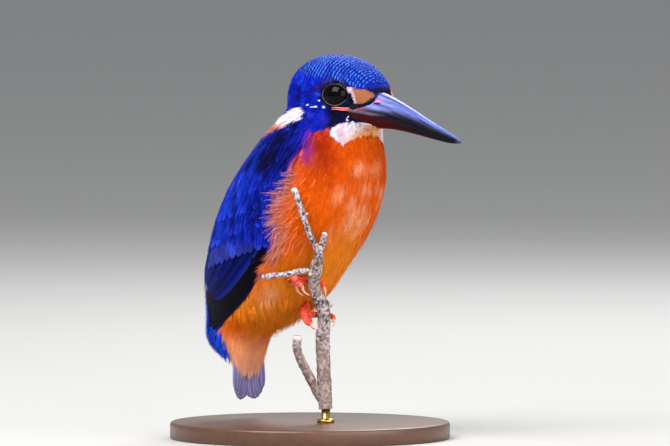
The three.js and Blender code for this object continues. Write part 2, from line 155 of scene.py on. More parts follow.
def smooth(at, xs, ys):
    """Cubic curve through ys at rising xs; ys may be numbers or rows of numbers."""
    xs, ys = np.asarray(xs, float), np.asarray(ys, float)
    slopes = np.gradient(ys, xs, axis=0)
    i = np.clip(np.searchsorted(xs, at) - 1, 0, len(xs) - 2)
    span = xs[i + 1] - xs[i]
    t = np.clip((at - xs[i]) / span, 0, 1)
    if ys.ndim > 1:
        t, span = t[..., None], span[..., None]
    return (ys[i] * (1 + 2 * t) * (1 - t) ** 2 + slopes[i] * span * t * (1 - t) ** 2
            + ys[i + 1] * t ** 2 * (3 - 2 * t) - slopes[i + 1] * span * t ** 2 * (1 - t))


NOISE_SIZE = 32
NOISE_TABLE = np.random.default_rng(3).random((NOISE_SIZE,) * 3)


def noise(points, scale):
    """Smooth value noise from 0 to 1; scale is the cell size, or one size for each axis."""
    p = np.asarray(points) / scale
    low = np.floor(p).astype(int)
    t = p - low
    t = t * t * (3 - 2 * t)
    total = 0
    for corner in np.ndindex(2, 2, 2):
        weight = np.prod(np.where(corner, t, 1 - t), axis=-1)
        cell = (low + corner) % NOISE_SIZE
        total = total + weight * NOISE_TABLE[cell[..., 0], cell[..., 1], cell[..., 2]]
    return total


# the middle of the body, as y at each height, which angles round the body are taken from
body_middle = curve(
    (8, 18, 22, 27, 32, 36, 42, 49, 57, 65, 73, 81, 92, 100, 109, 118),
    (26, 26.2, 27.2, 29.6, 29.4, 24.7, 18.1, 15, 10.2, 5.7, 1.7, -1.9, -6.4, -9.7, -11, -11))
HEAD_MIDDLE = (0.0, -11.0, 100.0)
HEAD_REACH = 22.0                  # length of the unwrap over the top of the head
UNWRAP_EDGE = 0.01


def round_body(points):
    """Degrees round the body from the breast (0) to the back (180), alike on both sides."""
    return np.degrees(np.arctan2(
        np.abs(points[..., 0]), body_middle(points[..., 2]) - points[..., 1]))


def unwrap(points):
    """The unwrap of the skin's own shape: round the body's axis, and along it over the crown."""
    x, y, z = np.moveaxis(points, -1, 0)
    around = np.arctan2(x, body_middle(z) - y) / (2 * math.pi) + 0.5
    rise = np.arctan2(np.maximum(z - HEAD_MIDDLE[2], 0),
                      np.hypot(x, y - HEAD_MIDDLE[1])) / (math.pi / 2)
    along = np.minimum(z, HEAD_MIDDLE[2]) + rise * HEAD_REACH
    room = 1 - 2 * UNWRAP_EDGE
    return stacked(UNWRAP_EDGE + room * around,
                   UNWRAP_EDGE + room * along / (HEAD_MIDDLE[2] + HEAD_REACH))


def one_side(points):
    """The places, with those of the right side mirrored to the left."""
    return np.concatenate([np.abs(points[..., :1]), points[..., 1:]], -1)


# ------------------------------------------------------------------ meshes


def mesh_object(name, points, faces, smooth_shading=True):
    """A mesh object from points in millimetres and faces of three or four corners."""
    data = bpy.data.meshes.new(name)
    loops = np.concatenate([f.ravel() for f in faces]).astype(np.int32)
    sizes = np.concatenate([np.full(len(f), f.shape[1], np.int32) for f in faces])
    starts = np.concatenate([[0], np.cumsum(sizes)[:-1]]).astype(np.int32)
    data.vertices.add(len(points))
    data.vertices.foreach_set("co", (np.asarray(points) * MM).astype(np.float32).ravel())
    data.loops.add(len(loops))
    data.loops.foreach_set("vertex_index", loops)
    data.polygons.add(len(sizes))
    data.polygons.foreach_set("loop_start", starts)
    data.polygons.foreach_set("loop_total", sizes)
    if smooth_shading:
        data.polygons.foreach_set("use_smooth", np.ones(len(sizes), bool))
    data.update(calc_edges=True)
    obj = bpy.data.objects.new(name, data)
    bpy.context.scene.collection.objects.link(obj)
    return obj


def read_array(members, attribute, width, kind=np.int32):
    """An attribute of every member of a mesh's collection, in rows of a width."""
    values = np.zeros(len(members) * width, kind)
    members.foreach_get(attribute, values)
    return values.reshape(-1, width)


def set_colours(obj, colours):
    """Stores a linear colour for each point, as the attribute that the materials read."""
    layer = obj.data.color_attributes.new("Coat", "FLOAT_COLOR", "POINT")
    rgba = np.ones((len(colours), 4), np.float32)
    rgba[:, :3] = colours
    layer.data.foreach_set("color", rgba.ravel())


def set_uv(obj, name, coordinates, wrap=False):
    """Stores a map from a coordinate pair for each point; wrap mends faces over the seam."""
    loops = read_array(obj.data.loops, "vertex_index", 1)[:, 0]
    corners = np.asarray(coordinates, np.float32)[loops]
    if wrap:
        quads = corners.reshape(-1, 4, 2)
        over = np.ptp(quads[..., 0], axis=1) > 0.5
        quads[..., 0] += (over[:, None] & (quads[..., 0] < 0.5))
    obj.data.uv_layers.new(name=name).data.foreach_set("uv", corners.ravel())


def arrays_of(obj):
    """Points in millimetres and triangles of an object's mesh."""
    obj.data.calc_loop_triangles()
    return (read_array(obj.data.vertices, "co", 3, np.float32).astype(float) / MM,
            read_array(obj.data.loop_triangles, "vertices", 3))


def bands(lower, upper):
    """Triangles between rows of point numbers that run round closed rings."""
    a, b, c, d = (rows.ravel() for rows in (
        lower, np.roll(lower, -1, 1), np.roll(upper, -1, 1), upper))
    return np.concatenate([np.stack([a, b, c], 1), np.stack([a, c, d], 1)])


def outward(points, faces):
    """The triangles of a closed solid, turned so that they face out."""
    a, b, c = (points[faces[:, i]] for i in range(3))
    return faces if (a * np.cross(b, c)).sum() > 0 else faces[:, ::-1]


def closed_rings(rings):
    """Points and triangles of a closed solid through rings of points, capped at both ends."""
    count, sides = rings.shape[:2]
    index = np.arange(count * sides).reshape(count, sides)
    first, last = np.full(sides, count * sides), np.full(sides, count * sides + 1)
    faces = [bands(index[:-1], index[1:]),
             np.stack([first, np.roll(index[0], -1), index[0]], 1),
             np.stack([last, index[-1], np.roll(index[-1], -1)], 1)]
    ends = np.array([rings[0].mean(0), rings[-1].mean(0)])
    points = np.concatenate([rings.reshape(-1, 3), ends])
    return points, outward(points, np.concatenate(faces))


def ring_solid(rings, colours):
    """Points, faces and colours of a closed solid, from rings with a colour at each point."""
    colours = np.broadcast_to(colours, rings.shape)
    ends = [colours[0].mean(0)[None], colours[-1].mean(0)[None]]
    return *closed_rings(rings), np.concatenate([colours.reshape(-1, 3), *ends])


def ellipsoid(centre, radii, axes=np.eye(3), sides=40, rings=24):
    """Points and triangles of a closed ball with its own axes (rows)."""
    a = np.linspace(0, 2 * math.pi, sides, endpoint=False)
    b = np.linspace(0.02, math.pi - 0.02, rings)[:, None]
    local = stacked(np.sin(b) * np.cos(a), np.sin(b) * np.sin(a), np.cos(b)) * radii
    return closed_rings(local @ np.asarray(axes) + np.asarray(centre))


def joined(parts):
    """Points and faces of several solids together."""
    starts = np.cumsum([0] + [len(points) for points, _ in parts])
    return (np.concatenate([points for points, _ in parts]),
            np.concatenate([faces + start for (_, faces), start in zip(parts, starts)]))


def biggest_island(points, faces):
    """Drops every island of faces but the one with the most points."""
    label = np.arange(len(points))
    edges = np.concatenate([np.stack([faces[:, i - 1], faces[:, i]], 1) for i in range(4)])
    while True:
        low = label[edges].min(1)
        new = label.copy()
        np.minimum.at(new, edges[:, 0], low)
        np.minimum.at(new, edges[:, 1], low)
        new = new[new]
        if (new == label).all():
            break
        label = new
    keep = label == np.bincount(label).argmax()
    index = np.cumsum(keep) - 1
    return points[keep], index[faces[keep[faces[:, 0]]]]


def fused(parts, voxel, smoothing):
    """One smooth closed surface round several solids: points and quads."""
    points, faces = joined(parts)
    obj = mesh_object("scratch", points / MM, [faces])
    remesh = obj.modifiers.new("remesh", "REMESH")
    remesh.mode = "VOXEL"
    remesh.voxel_size = voxel
    soften = obj.modifiers.new("soften", "SMOOTH")
    soften.factor = 0.5
    soften.iterations = smoothing
    made = obj.evaluated_get(bpy.context.evaluated_depsgraph_get()).to_mesh()
    points = read_array(made.vertices, "co", 3, np.float32).astype(float)
    quads = read_array(made.loops, "vertex_index", 1).reshape(-1, 4)
    bpy.data.objects.remove(obj)
    return biggest_island(points, quads)


def point_normals(points, quads):
    a, b, c, d = (points[quads[:, i]] for i in range(4))
    face = np.cross(c - a, d - b)
    total = np.zeros_like(points)
    for i in range(4):
        np.add.at(total, quads[:, i], face)
    return unit(total)


def finish_piece(obj, replaced=()):
    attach(obj, "root")
    if replaced:
        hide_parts(*replaced)


def coloured_piece(name, parts, material, replaced=()):
    """A piece from solids of (points, faces, colours)."""
    points, faces = joined([(p, f) for p, f, _ in parts])
    obj = mesh_object(name, points, [faces])
    set_colours(obj, np.concatenate([np.broadcast_to(c, p.shape) for p, _, c in parts]))
    obj.data.materials.append(material)
    finish_piece(obj, replaced)
    return obj


def tube(path, radii, sides=16, pitch=0.35, round_end=True, relief=None):
    """Rings of a tube along a smooth path, with its part of the length at each ring."""
    path = np.asarray(path, float)
    ends = np.concatenate([[0], np.cumsum(np.linalg.norm(np.diff(path, axis=0), axis=1))])
    at = np.linspace(0, ends[-1], max(int(ends[-1] / pitch), 5))
    centre = smooth(at, ends, path)
    radius = smooth(at, ends, np.broadcast_to(radii, len(path)))
    if round_end:
        left = (ends[-1] - at) / radius[-1]
        radius = radius * np.sqrt(np.clip(1 - (1 - np.clip(left, 0, 1)) ** 2, 0.02, 1))
    way = unit(np.gradient(centre, axis=0))
    aside = [tangent(np.cross(way[0], (0.3, 0.2, 0.9)), way[0])]
    for w in way[1:]:
        aside.append(tangent(aside[-1], w))
    aside = np.array(aside)
    above = np.cross(way, aside)
    turn = np.linspace(0, 2 * math.pi, sides, endpoint=False)[:, None]
    out = aside[:, None] * np.cos(turn) + above[:, None] * np.sin(turn)
    size = np.broadcast_to(radius[:, None], (len(at), sides))
    if relief:
        size = size + relief(centre[:, None] + out * radius[:, None, None], at[:, None],
                             turn[None, :, 0])
    return centre[:, None] + out * size[..., None], at / ends[-1]


# ------------------------------------------------------------------ skin

EYE_MIDDLE = np.array([8.4, -20.1, 103.9])
EYE_LOOK = unit(np.array([0.93, -0.36, 0.05]))
EYE_RADII = np.array([4.3, 3.9, 3.45])       # towards the bill, up, outward
EYE_OPENING = np.array([3.65, 2.95])         # half length and half height between the lids
EYE_FILL = np.array([2.7, 2.5, 2.3])         # the flesh in the eye's socket
BILL_FILL = ((0, -26.5, 99.6), (4.6, 4.0, 3.8))
TAIL_TOP, TAIL_TIP, TAIL_Y = 34.0, 10.8, 26.2
# the plumage under the tail: height, front, back and half width
TAIL_GUIDE = ((34, 19.5, 33, 8.6), (30, 20.0, 32.5, 8.6), (27, 20.6, 32, 8.4),
              (22.6, 22.0, 31, 8.4), (18.4, 23.6, 30.4, 8.2), (14, 24.8, 30.0, 7.4),
              (9, 25.4, 29.6, 6.6))
# what fills the tail's slot in the flesh, in the same order
TAIL_FILL = ((36, 21, 34, 7.5), (30, 21.2, 34, 7.8), (26, 22.0, 33.5, 7.8), (23, 22.6, 33, 7.2),
             (20, 22.7, 32.5, 6.6), (18.2, 22.8, 32, 6.4))
FLESH = ("head", "neck", "breast", "belly", "rump", "undertail", "wing_right", "wing_left")
SKIN_VOXEL, SKIN_SMOOTHING = 0.5, 8
GUIDE_VOXEL, GUIDE_SMOOTHING = 0.8, 6
SKIN_END = 23.4

# the bill's outline: distance in front of the frame's origin, heights of the ridge, of the
# line where the halves meet and of the keel, and half its width
BILL = np.array((
    (24.6, 105.3, 99.5, 94.9, 9.0), (26.6, 105.3, 99.3, 94.4, 8.3),
    (29.3, 105.0, 98.8, 94.0, 6.7), (32.0, 104.3, 98.3, 93.9, 5.3),
    (35.0, 103.4, 97.9, 93.8, 4.3), (39.0, 101.9, 97.1, 93.4, 3.5),
    (44.0, 99.8, 95.9, 92.7, 2.8), (52.0, 96.3, 93.8, 91.4, 1.95),
    (60.0, 93.0, 91.7, 90.4, 0.85), (63.3, 91.4, 90.95, 90.5, 0.22)))
BILL_ROOT, BILL_TIP = BILL[0, 0], BILL[-1, 0]


def bill_at(y):
    """Ridge, meeting line, keel and half width of the bill at each y."""
    return np.moveaxis(smooth(-y, BILL[:, 0], BILL[:, 1:]), -1, 0)


# front edge of the face's feathers on the bill's side, as y at each height
feather_edge = curve(
    (94.4, 95.6, 96.3, 98.5, 99.4, 100.2, 101.2, 102.3, 103.4, 104.6, 105.8),
    (-31.4, -28.5, -24.8, -24.9, -25.6, -28.0, -30.0, -31.0, -31.5, -31.2, -30.4))


def eye_axes(side):
    """Rows: towards the bill, up, and outward, of one eye."""
    out = EYE_LOOK * (side, 1, 1)
    up = tangent(np.array([0, 0, 1.0]), out)
    ahead = np.cross(up, out) * side
    return np.array([ahead if ahead[1] < 0 else -ahead, up, out])


def coat_depth(points):
    """How far the skin lies under the plumage's outline."""
    depth = np.interp(points[:, 2], (18, 24, 30, 50, 80, 92, 98),
                      (1.8, 1.6, 1.4, 1.15, 1.15, 1.0, 0.6))
    eye = np.linalg.norm(one_side(points) - EYE_MIDDLE, axis=1)
    bill = np.linalg.norm((points - (0, -31, 99.5)) / (6, 4.0, 7), axis=1)
    return depth * (0.3 + 0.7 * step(4.2, 6.5, eye)) * (0.45 + 0.55 * step(0.9, 1.5, bill))


def clear_of_bill(points):
    """Draws the skin in beside the bill's root, so that the bill's sides stand free."""
    x, y, z = points.T
    ridge, meet, keel, half = bill_at(np.minimum(y, -BILL_ROOT))
    rise = np.where(z > meet, (z - meet) / (ridge - meet), (meet - z) / (meet - keel))
    room = 0.88 * half * np.sqrt(np.clip(1 - np.clip(rise, 0, 1) ** 2, 0, 1)) - 0.4
    share = step(0.1, -0.7, y - feather_edge(z)) * step(keel - 0.6, keel + 0.2, z)
    short = np.minimum(np.abs(x), np.maximum(room, 0.3))
    return np.stack([np.sign(x) * (np.abs(x) + (short - np.abs(x)) * share), y, z], 1)


def tail_root(rows, sides=24):
    """A closed solid from rows of height, front, back and half width."""
    turn = np.linspace(0, 2 * math.pi, sides, endpoint=False)
    z, front, back, half = np.array(rows, float).T[..., None]
    return closed_rings(stacked(half * np.cos(turn),
                                (front + back) / 2 + (back - front) / 2 * np.sin(turn), z))


def body_surface(tail, voxel, smoothing):
    """The flesh as one surface, let down by the coat's depth."""
    parts = [arrays_of(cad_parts[name]) for name in FLESH]
    parts += [ellipsoid(*BILL_FILL), tail_root(tail)]
    parts += [ellipsoid(EYE_MIDDLE * (side, 1, 1), EYE_FILL, eye_axes(side))
              for side in (RIGHT, LEFT)]
    points, quads = fused(parts, voxel, smoothing)
    x, y, z = (points - point_normals(points, quads) * coat_depth(points)[:, None]).T
    taper = np.interp(z, (16, 28), (0.7, 1.0))
    return clear_of_bill(np.stack([x * taper, TAIL_Y + (y - TAIL_Y) * taper, z], 1)), quads


SCATTER_TRIES = 5                  # random places tried for each one that has room
SCATTER_GAP = 0.86                 # how near two places may lie, as a part of the spacing
RAY_START = 60                     # where rays from beside the body start
RAY_MISS = 4.0                     # and where one that misses it is taken to end


class Surface:
    """A surface that plumage is laid on."""

    def __init__(self, points, quads):
        self.points, self.quads = points, quads
        self.tree = BVHTree.FromPolygons(points.tolist(), quads.tolist())
        self.face_normals = unit(point_normals(points, quads)[quads].mean(1))

    def nearest(self, places):
        """The closest points to the places, with their smooth normals."""
        found = [self.tree.find_nearest(p) for p in places.reshape(-1, 3).tolist()]
        points = np.array([f[0] for f in found]).reshape(places.shape)
        return points, self.face_normals[[f[2] for f in found]].reshape(places.shape)

    def beside(self, y, z, side):
        """The places that are seen at (y, z) from straight beside the body."""
        places = []
        for b, c in zip(np.ravel(y), np.ravel(z)):
            hit = self.tree.ray_cast((side * RAY_START, b, c), (-side, 0, 0))[0]
            places.append(hit if hit else (side * RAY_MISS, b, c))
        return self.nearest(np.array(places).reshape(np.shape(y) + (3,)))

    def scatter(self, spacing, inside):
        """Evenly spread random points where inside(points) holds, about spacing apart."""
        corners = self.points[self.quads]
        corners = corners[inside(corners.mean(1))]
        area = np.linalg.norm(np.cross(corners[:, 2] - corners[:, 0],
                                       corners[:, 3] - corners[:, 1]), axis=1) / 2
        tries = int(area.sum() / spacing ** 2 * SCATTER_TRIES)
        pick = rng.choice(len(area), tries, p=area / area.sum())
        u, v = rng.random((2, len(pick), 1))
        c = corners[pick]
        places = (c[:, 0] * (1 - u) * (1 - v) + c[:, 1] * u * (1 - v)
                  + c[:, 2] * u * v + c[:, 3] * (1 - u) * v)
        tree = KDTree(len(places))
        for i, p in enumerate(places.tolist()):
            tree.insert(p, i)
        tree.balance()
        free = np.ones(len(places), bool)
        kept = []
        for i, p in enumerate(places.tolist()):
            if free[i]:
                kept.append(i)
                free[[j for _, j, _ in tree.find_range(p, spacing * SCATTER_GAP)]] = False
        return places[kept]


skin_points, skin_quads = body_surface(TAIL_FILL, SKIN_VOXEL, SKIN_SMOOTHING)
# under the tail the skin lies deeper, below the roots of its long coverts
deeper = 1.2 * step(31, 26, skin_points[:, 2])
skin_points = skin_points - point_normals(skin_points, skin_quads) * deeper[:, None]
# and it ends higher than the flesh, among the tail feathers' roots
skin_points[:, 2] = np.maximum(skin_points[:, 2], SKIN_END + 0.1 * (skin_points[:, 2] - SKIN_END))
guide = Surface(*body_surface(TAIL_GUIDE, GUIDE_VOXEL, GUIDE_SMOOTHING))

# ------------------------------------------------------------------ markings

ULTRAMARINE = linear((16, 34, 176))
COBALT = linear((24, 74, 245))
DEEP_BLUE = linear((6, 9, 84))
INK = linear((12, 10, 40))
CROWN_PLAIN = linear((8, 24, 166))
CROWN_DARK = linear((7, 30, 138))
CROWN_BAND = linear((78, 130, 232))
EYE_SHADE = linear((46, 30, 78))
CHEEK_BLUE = linear((12, 28, 168))
VIOLET = linear((96, 40, 170))
PLUM = linear((112, 26, 66))
LILAC = linear((96, 98, 190))
SMOKE = linear((104, 106, 158))
COVERT_BLUE = linear((40, 66, 220))
COVERT_GREY = linear((44, 52, 134))
AZURE = linear((22, 78, 222))
ORANGE = linear((238, 100, 14))
RED_ORANGE = linear((188, 50, 10))
OCHRE = linear((255, 152, 40))
DEEP_ORANGE = linear((246, 114, 18))
PALE_ORANGE = linear((255, 178, 130))
VENT_ORANGE = linear((250, 172, 124))
FLANK_PINK = linear((240, 160, 142))
WHITE = linear((240, 230, 240))
PINK_WHITE = linear((226, 196, 216))
CREAM = linear((250, 178, 122))
BUFF = linear((166, 104, 70))
NAPE_BUFF = linear((210, 134, 98))
FACE_BLACK = linear((12, 11, 30))

# angle round the body, at each height, where the orange front meets the blue
border = curve((18, 22, 27, 30, 32, 34.6, 37, 40.3, 44.8, 49.6, 54.1, 58, 62.4, 68.5, 73.2, 77.8,
                81.6, 84.7, 88.5, 92.4, 94.0, 95.2, 96.2),
               (88, 84, 69, 76, 90, 94, 86, 76, 65, 58.5, 57, 55, 58, 66, 67, 66, 66, 67, 64, 60,
                41, 22, 0))
# white throat: its lower and upper edges as heights at each angle from the breast's middle
THROAT_ANGLE = (0, 4, 10, 17, 22, 27, 33, 38, 43)
throat_low = curve(THROAT_ANGLE, (91.8, 91.7, 91.3, 90.8, 89.8, 88.9, 91.2, 92.4, 93.7))
throat_top = curve(THROAT_ANGLE, (95.8, 95.8, 95.8, 95.9, 95.8, 95.4, 94.9, 94.3, 93.7))
# pale patch on the side of the neck, as its middle height and half its height at each angle
PATCH_ANGLE = (87, 91, 100, 109, 115, 123, 132, 141, 150)
patch_middle = curve(PATCH_ANGLE, (97.6, 97.7, 97.9, 97.1, 95.9, 94.9, 94.0, 93.6, 93.4))
patch_half = curve(PATCH_ANGLE, (0.6, 1.3, 1.9, 2.4, 3.0, 3.2, 3.6, 2.9, 1.6))
# the lore patch seen from the side, as its upper and lower height at each y
LORE_Y = (-30.9, -30.4, -30.0, -28.8, -27.5, -26.6, -25.6, -23.8)
lore_top = curve(LORE_Y, (103.6, 104.5, 104.9, 105.5, 105.8, 105.9, 106.3, 106.5))
lore_low = curve(LORE_Y, (103.4, 102.8, 102.2, 101.7, 101.4, 101.4, 101.6, 106.0))
# lower edge of the crown, and lower and rear limit of its bars, as heights at each y
brow_at = curve((-31, -27, -23, -17, -12, -7, 0, 6),
                (105.4, 106.2, 107.0, 107.6, 106.8, 105.6, 103.6, 101.0))
bars_at = curve((-31, -26, -23, -19, -14.5, -11.5, -7, -4, -1, 2),
                (105.2, 106.2, 107.4, 108.7, 109.1, 109.0, 109.8, 110.9, 113.0, 117))
# rear edge of the folded wings, as y at each height
wing_rear = curve((29, 31, 35, 41, 48, 56, 66, 76, 86, 96),
                  (60, 37.0, 35.0, 33.0, 33.0, 33.4, 30.0, 25.0, 18.0, 8.0))
# pale blotches on the breast: angle round the body, height, half width and half height; the last,
# low on the belly, is partly a painted highlight
PALE_SPOTS = ((10, 82.8, 5, 1.8), (5.6, 66.5, 6, 3.0), (2, 76, 3, 2.2), (3, 70, 2.5, 3),
              (22, 75, 4, 2), (46, 43.8, 9, 2.6))
# small white flecks beside the cheek, as (y, z, length)
FLECKS = ((-16.0, 102.2, 0.8), (-17.6, 100.4, 1.1), (-14.6, 100.6, 1.7), (-11.4, 100.6, 0.9),
          (-12.9, 100.2, 0.9), (-24.4, 97.8, 0.7), (-23.8, 96.9, 0.8), (-24.6, 96.2, 0.6))


def orange_front(points, angle, rough, broad, lengthwise):
    """Colour of the underparts below the throat."""
    z = points[..., 2]
    edge = border(z)
    colour = painted(
        ORANGE,
        # redder towards the throat: partly own colour, partly painted shade under the head
        (RED_ORANGE, np.clip(
            step(70, 92, z) * (0.95 + 1.2 * broad) * (0.3 + 0.7 * step(4, 26, angle)), 0, 1)),
        # darker red below the throat, mottled by noise: partly painted shade under the head
        (RED_ORANGE * 0.6, np.clip(
            bell(z, 86, 7) * step(12, 24, angle) * step(62, 48, angle)
            * (0.45 + 2 * broad + rough), 0, 0.9)),
        # ochre, brighter towards the belly: partly own colour, partly painted light on the
        # underside
        (OCHRE, step(66, 48, z + 0.3 * (angle - 30)) * 0.8),
        (DEEP_ORANGE, step(40, 35, z) * step(30, 60, angle) * 0.9))
    pale = noise(points + 43, (3.2, 3.2, 5.0))
    pale = step(0.6, 0.9, pale) * step(45, 58, z) * step(92, 84, z) * step(34, 14, angle) * 0.6
    for spot_angle, spot_z, wide, high in PALE_SPOTS:
        spot = bell(angle, spot_angle, wide) * bell(z, spot_z, high)
        pale = np.maximum(pale, spot * (0.75 + 0.9 * lengthwise + 0.5 * rough))
    pink = step(13, 0, edge - angle) * step(46, 60, z) * step(86, 76, z)
    return painted(
        colour,
        (PALE_ORANGE, np.clip(pale, 0, 0.8)),
        (FLANK_PINK, np.clip(pink * (0.6 + rough), 0, 1)),
        (VENT_ORANGE, step(33.5, 29, z) * step(-0.5, 0.1, lengthwise)))


def head_markings(points, rough, lengthwise):
    """Colour of the head above the throat: crown, cheek, lores and the dark lines by the eye."""
    x, y, z = np.moveaxis(points, -1, 0)
    brow = brow_at(y)
    crown = mix(mix(CROWN_PLAIN, COBALT, step(0.1, 0.45, rough) * 0.5), CROWN_DARK,
                step(-0.8, 0.6, z - bars_at(y)))
    over_eye = bell(np.hypot((y - EYE_MIDDLE[1] - 0.4) * 0.8, z - EYE_MIDDLE[2]), 4.2, 0.7)
    eye = np.hypot((y - EYE_MIDDLE[1] + 0.4) * 0.84, z - EYE_MIDDLE[2] - 0.2)
    gape = (step(-17.2, -19.6, y + rough) * step(102.2, 101.6, z)
            * step(95.0, 96.6, z + rough + (y + 22) * 0.15))
    # buff lores, whiter beside the eye, dark in front of them; on the left side only, the lore's
    # front has a painted highlight in cream
    lore = (step(-0.15, 0.15, lore_top(y) - z + rough * 0.4)
            * step(-0.15, 0.15, z - lore_low(y) + rough * 0.4)
            * step(-23.4, -24.2, y - (z - 105) * 0.4) * step(-31.1, -30.6, y))
    slant = y - (z - 104) * 0.35
    buff = painted(
        BUFF,
        (PINK_WHITE, step(-26.6, -26.0, slant + rough * 0.8) * 0.9),
        (FACE_BLACK, step(-25.6, -25.0, slant + rough)
         + step(-26.4, -25.6, slant) * step(0.0, 0.2, rough) * 0.9),
        # left side only: a painted highlight of light from behind, in cream
        (CREAM, (x > 0) * step(-29.4, -30.0, y) * 0.8))
    return painted(
        CHEEK_BLUE,
        (COBALT, step(0.05, 0.45, rough) * 0.75),
        (INK, step(0.0, 0.35, -lengthwise - rough) * 0.8),
        (crown, step(-0.4, 0.4, z - brow) * step(9, 4, y)),
        (EYE_SHADE, over_eye * step(102, 106, z) * 0.85),
        (VIOLET, step(99, 96.5, z) * step(-22, -16, y) * step(-0.1, 0.4, rough) * 0.4),
        (FACE_BLACK, bell(z - brow, -0.5, 0.45) * step(-19, -23, y) * 0.9),
        (FACE_BLACK, step(4.5, 3.7, eye + rough * 0.5)),
        (FACE_BLACK, gape * 0.92),
        (FACE_BLACK, step(-24, -26, y) * step(103.4, 102.6, z) * 0.95),
        (FACE_BLACK, step(-29.2, -30.4, y) * step(106.8, 105.6, z) * 0.85),
        (buff, lore))


def markings(points):
    """Base plumage colour at places on the body, before each feather's own pattern."""
    x, y, z = np.moveaxis(points, -1, 0)
    angle = round_body(points)
    rough = noise(points, 1.6) - 0.5
    broad = noise(points, 7.0) - 0.5
    lengthwise = noise(points + 15, (1.3, 1.3, 6.0)) - 0.5
    bright = bell(angle, 120, 20) * step(92, 84, z) * step(52, 60, z)
    # bright strip down the back to the tail
    back = step(8.5, 5.0, np.abs(x) + rough * 3) * step(110, 135, angle) * step(92, 84, z)
    rump = step(-0.5, 0.8, y - wing_rear(z)) * step(54, 48, z) * step(70, 90, angle)
    back = np.maximum(np.maximum(back, rump), step(36, 32, z))
    # sides of the neck and shoulder
    side = step(98, 90, z) * step(122, 84, angle) * step(80, 86, z)
    dark = bell(angle, 98, 18) * step(77, 86, z + 9 * broad) * step(96, 90, z + 5 * broad)
    dark = np.maximum(dark, bell(angle, 80, 12) * step(76, 84, z + 8 * broad)
                      * step(90, 86, z) * 0.7)
    front = step(3.0, -3.0, angle - border(z) + rough * 8)
    rim = (bell(angle, np.interp(z, (83, 93), (50, 66)), 5.5) * step(81, 86, z)
           * step(95, 92, z))
    # white throat with a dark line over it
    top = throat_top(angle)
    throat = (step(-0.3, 0.3, z - throat_low(angle) + rough * 1.2)
              * step(0.3, -0.3, z - top + rough) * step(44, 40, angle))
    white = mix(mix(WHITE, PINK_WHITE, step(-0.2, 0.2, lengthwise)), CREAM,
                step(26, 12, angle + 3 * (z - 92)))
    malar = step(-0.2, 0.4, z - top) * step(98, 97, z) * step(18, 22, angle) * step(52, 44, angle)
    # pale neck patch
    middle, half = patch_middle(angle), patch_half(angle)
    patch = (step(0.25, -0.25, np.abs(z - middle) - half + rough * 0.4) * step(87, 90, angle)
             * step(150, 144, angle))
    shade = bell(z - middle - half, 0.5, 0.5) * step(87, 92, angle) * step(120, 108, angle)
    return painted(
        DEEP_BLUE,
        (ULTRAMARINE, step(-0.5, 0.15, broad + lengthwise)),
        (COBALT, np.clip(bright * (0.55 + 1.3 * lengthwise), 0, 1)),
        (mix(AZURE, ULTRAMARINE, step(0.0, 0.4, -lengthwise)), back),
        (mix(CHEEK_BLUE, VIOLET, step(0.15, 0.5, rough + broad)), side * 0.7),
        (INK, np.clip(dark * (1.15 + 2.4 * rough + broad), 0, 0.93)),
        (orange_front(points, angle, rough, broad, lengthwise), front * step(96.5, 95.5, z)),
        (mix(PLUM, VIOLET, step(83, 87, z + 4 * rough)), rim * (0.7 + 0.8 * rough)),
        (white, throat),
        (FACE_BLACK, malar * 0.9),
        (head_markings(points, rough, lengthwise),
         step(95.4, 96.2, z + rough) * (1 - throat)),
        (INK, shade * 0.8),
        (mix(WHITE * 1.1, NAPE_BUFF, step(95.0, 93.2, z + rough)), patch))


# ------------------------------------------------------------------ lie of the plumage


def lie(points):
    """The way feathers point at each place: back over the head, then down the body."""
    x, y, z = np.moveaxis(points, -1, 0)
    angle = round_body(points)
    head = step(90, 101, z + (angle - 60) * 0.03)
    return stacked(
        x * (0.012 * (1 - head) + head * 0.02 * step(-20, -30, y)),
        head * 1.0 + (1 - head) * (0.10 + 0.34 * step(40, 110, angle)),
        -(head * (0.10 + 0.35 * step(-14, 2, y) + 0.5 * step(98, 93, z)) + (1 - head)))


def trace(roots, ways, lengths, steps):
    """Lines along the guide from the roots: places, normals and ways at each step, lengths."""
    places, normals = guide.nearest(roots)
    ways = tangent(ways, normals)
    line = [(places, normals, ways)]
    for _ in range(steps):
        places, normals = guide.nearest(places + ways * (lengths / steps)[:, None])
        ways = tangent(ways, normals)
        line.append((places, normals, ways))
    return *(np.stack(part, 1) for part in zip(*line)), lengths


def drawn(paths, side, steps):
    """Lines along the guide under side-view paths, an array of (feather, corner, (y, z))."""
    knots = np.linspace(0, 1, paths.shape[1])
    at = np.linspace(0, 1, steps + 1)
    y, z = np.moveaxis(np.array([smooth(at, knots, p) for p in paths]), -1, 0)
    places, normals = guide.beside(y, z, side)
    normals[:, 1:-1] = unit(normals[:, :-2] + normals[:, 1:-1] + normals[:, 2:])
    ways = tangent(np.gradient(places, axis=1), normals)
    return places, normals, ways, np.linalg.norm(np.diff(places, axis=1), axis=2).sum(1)


def between(line, at):
    """Places, normals and ways of the lines at parts of their length at (feather, ...)."""
    steps = line[0].shape[1] - 1
    at = np.clip(at, 0, 1) * steps
    low = np.minimum(at.astype(int), steps - 1)
    part = (at - low)[..., None]
    who = np.arange(len(at)).reshape((-1,) + (1,) * (at.ndim - 1))
    places, normals, ways = (a[who, low] * (1 - part) + a[who, low + 1] * part
                             for a in line[:3])
    return places, unit(normals), unit(ways)


def jitter(count, spread=0.15):
    return rng.uniform(1 - spread, 1 + spread, count)


BAKE_PATCH = 0.003                 # size of a tuft's patch on the bake map
COAT_LIMIT = 200000                # most triangles of one piece of the coat
LINE_STEPS = 3                     # steps along the skin that a scattered feather takes
coat_triangles = []


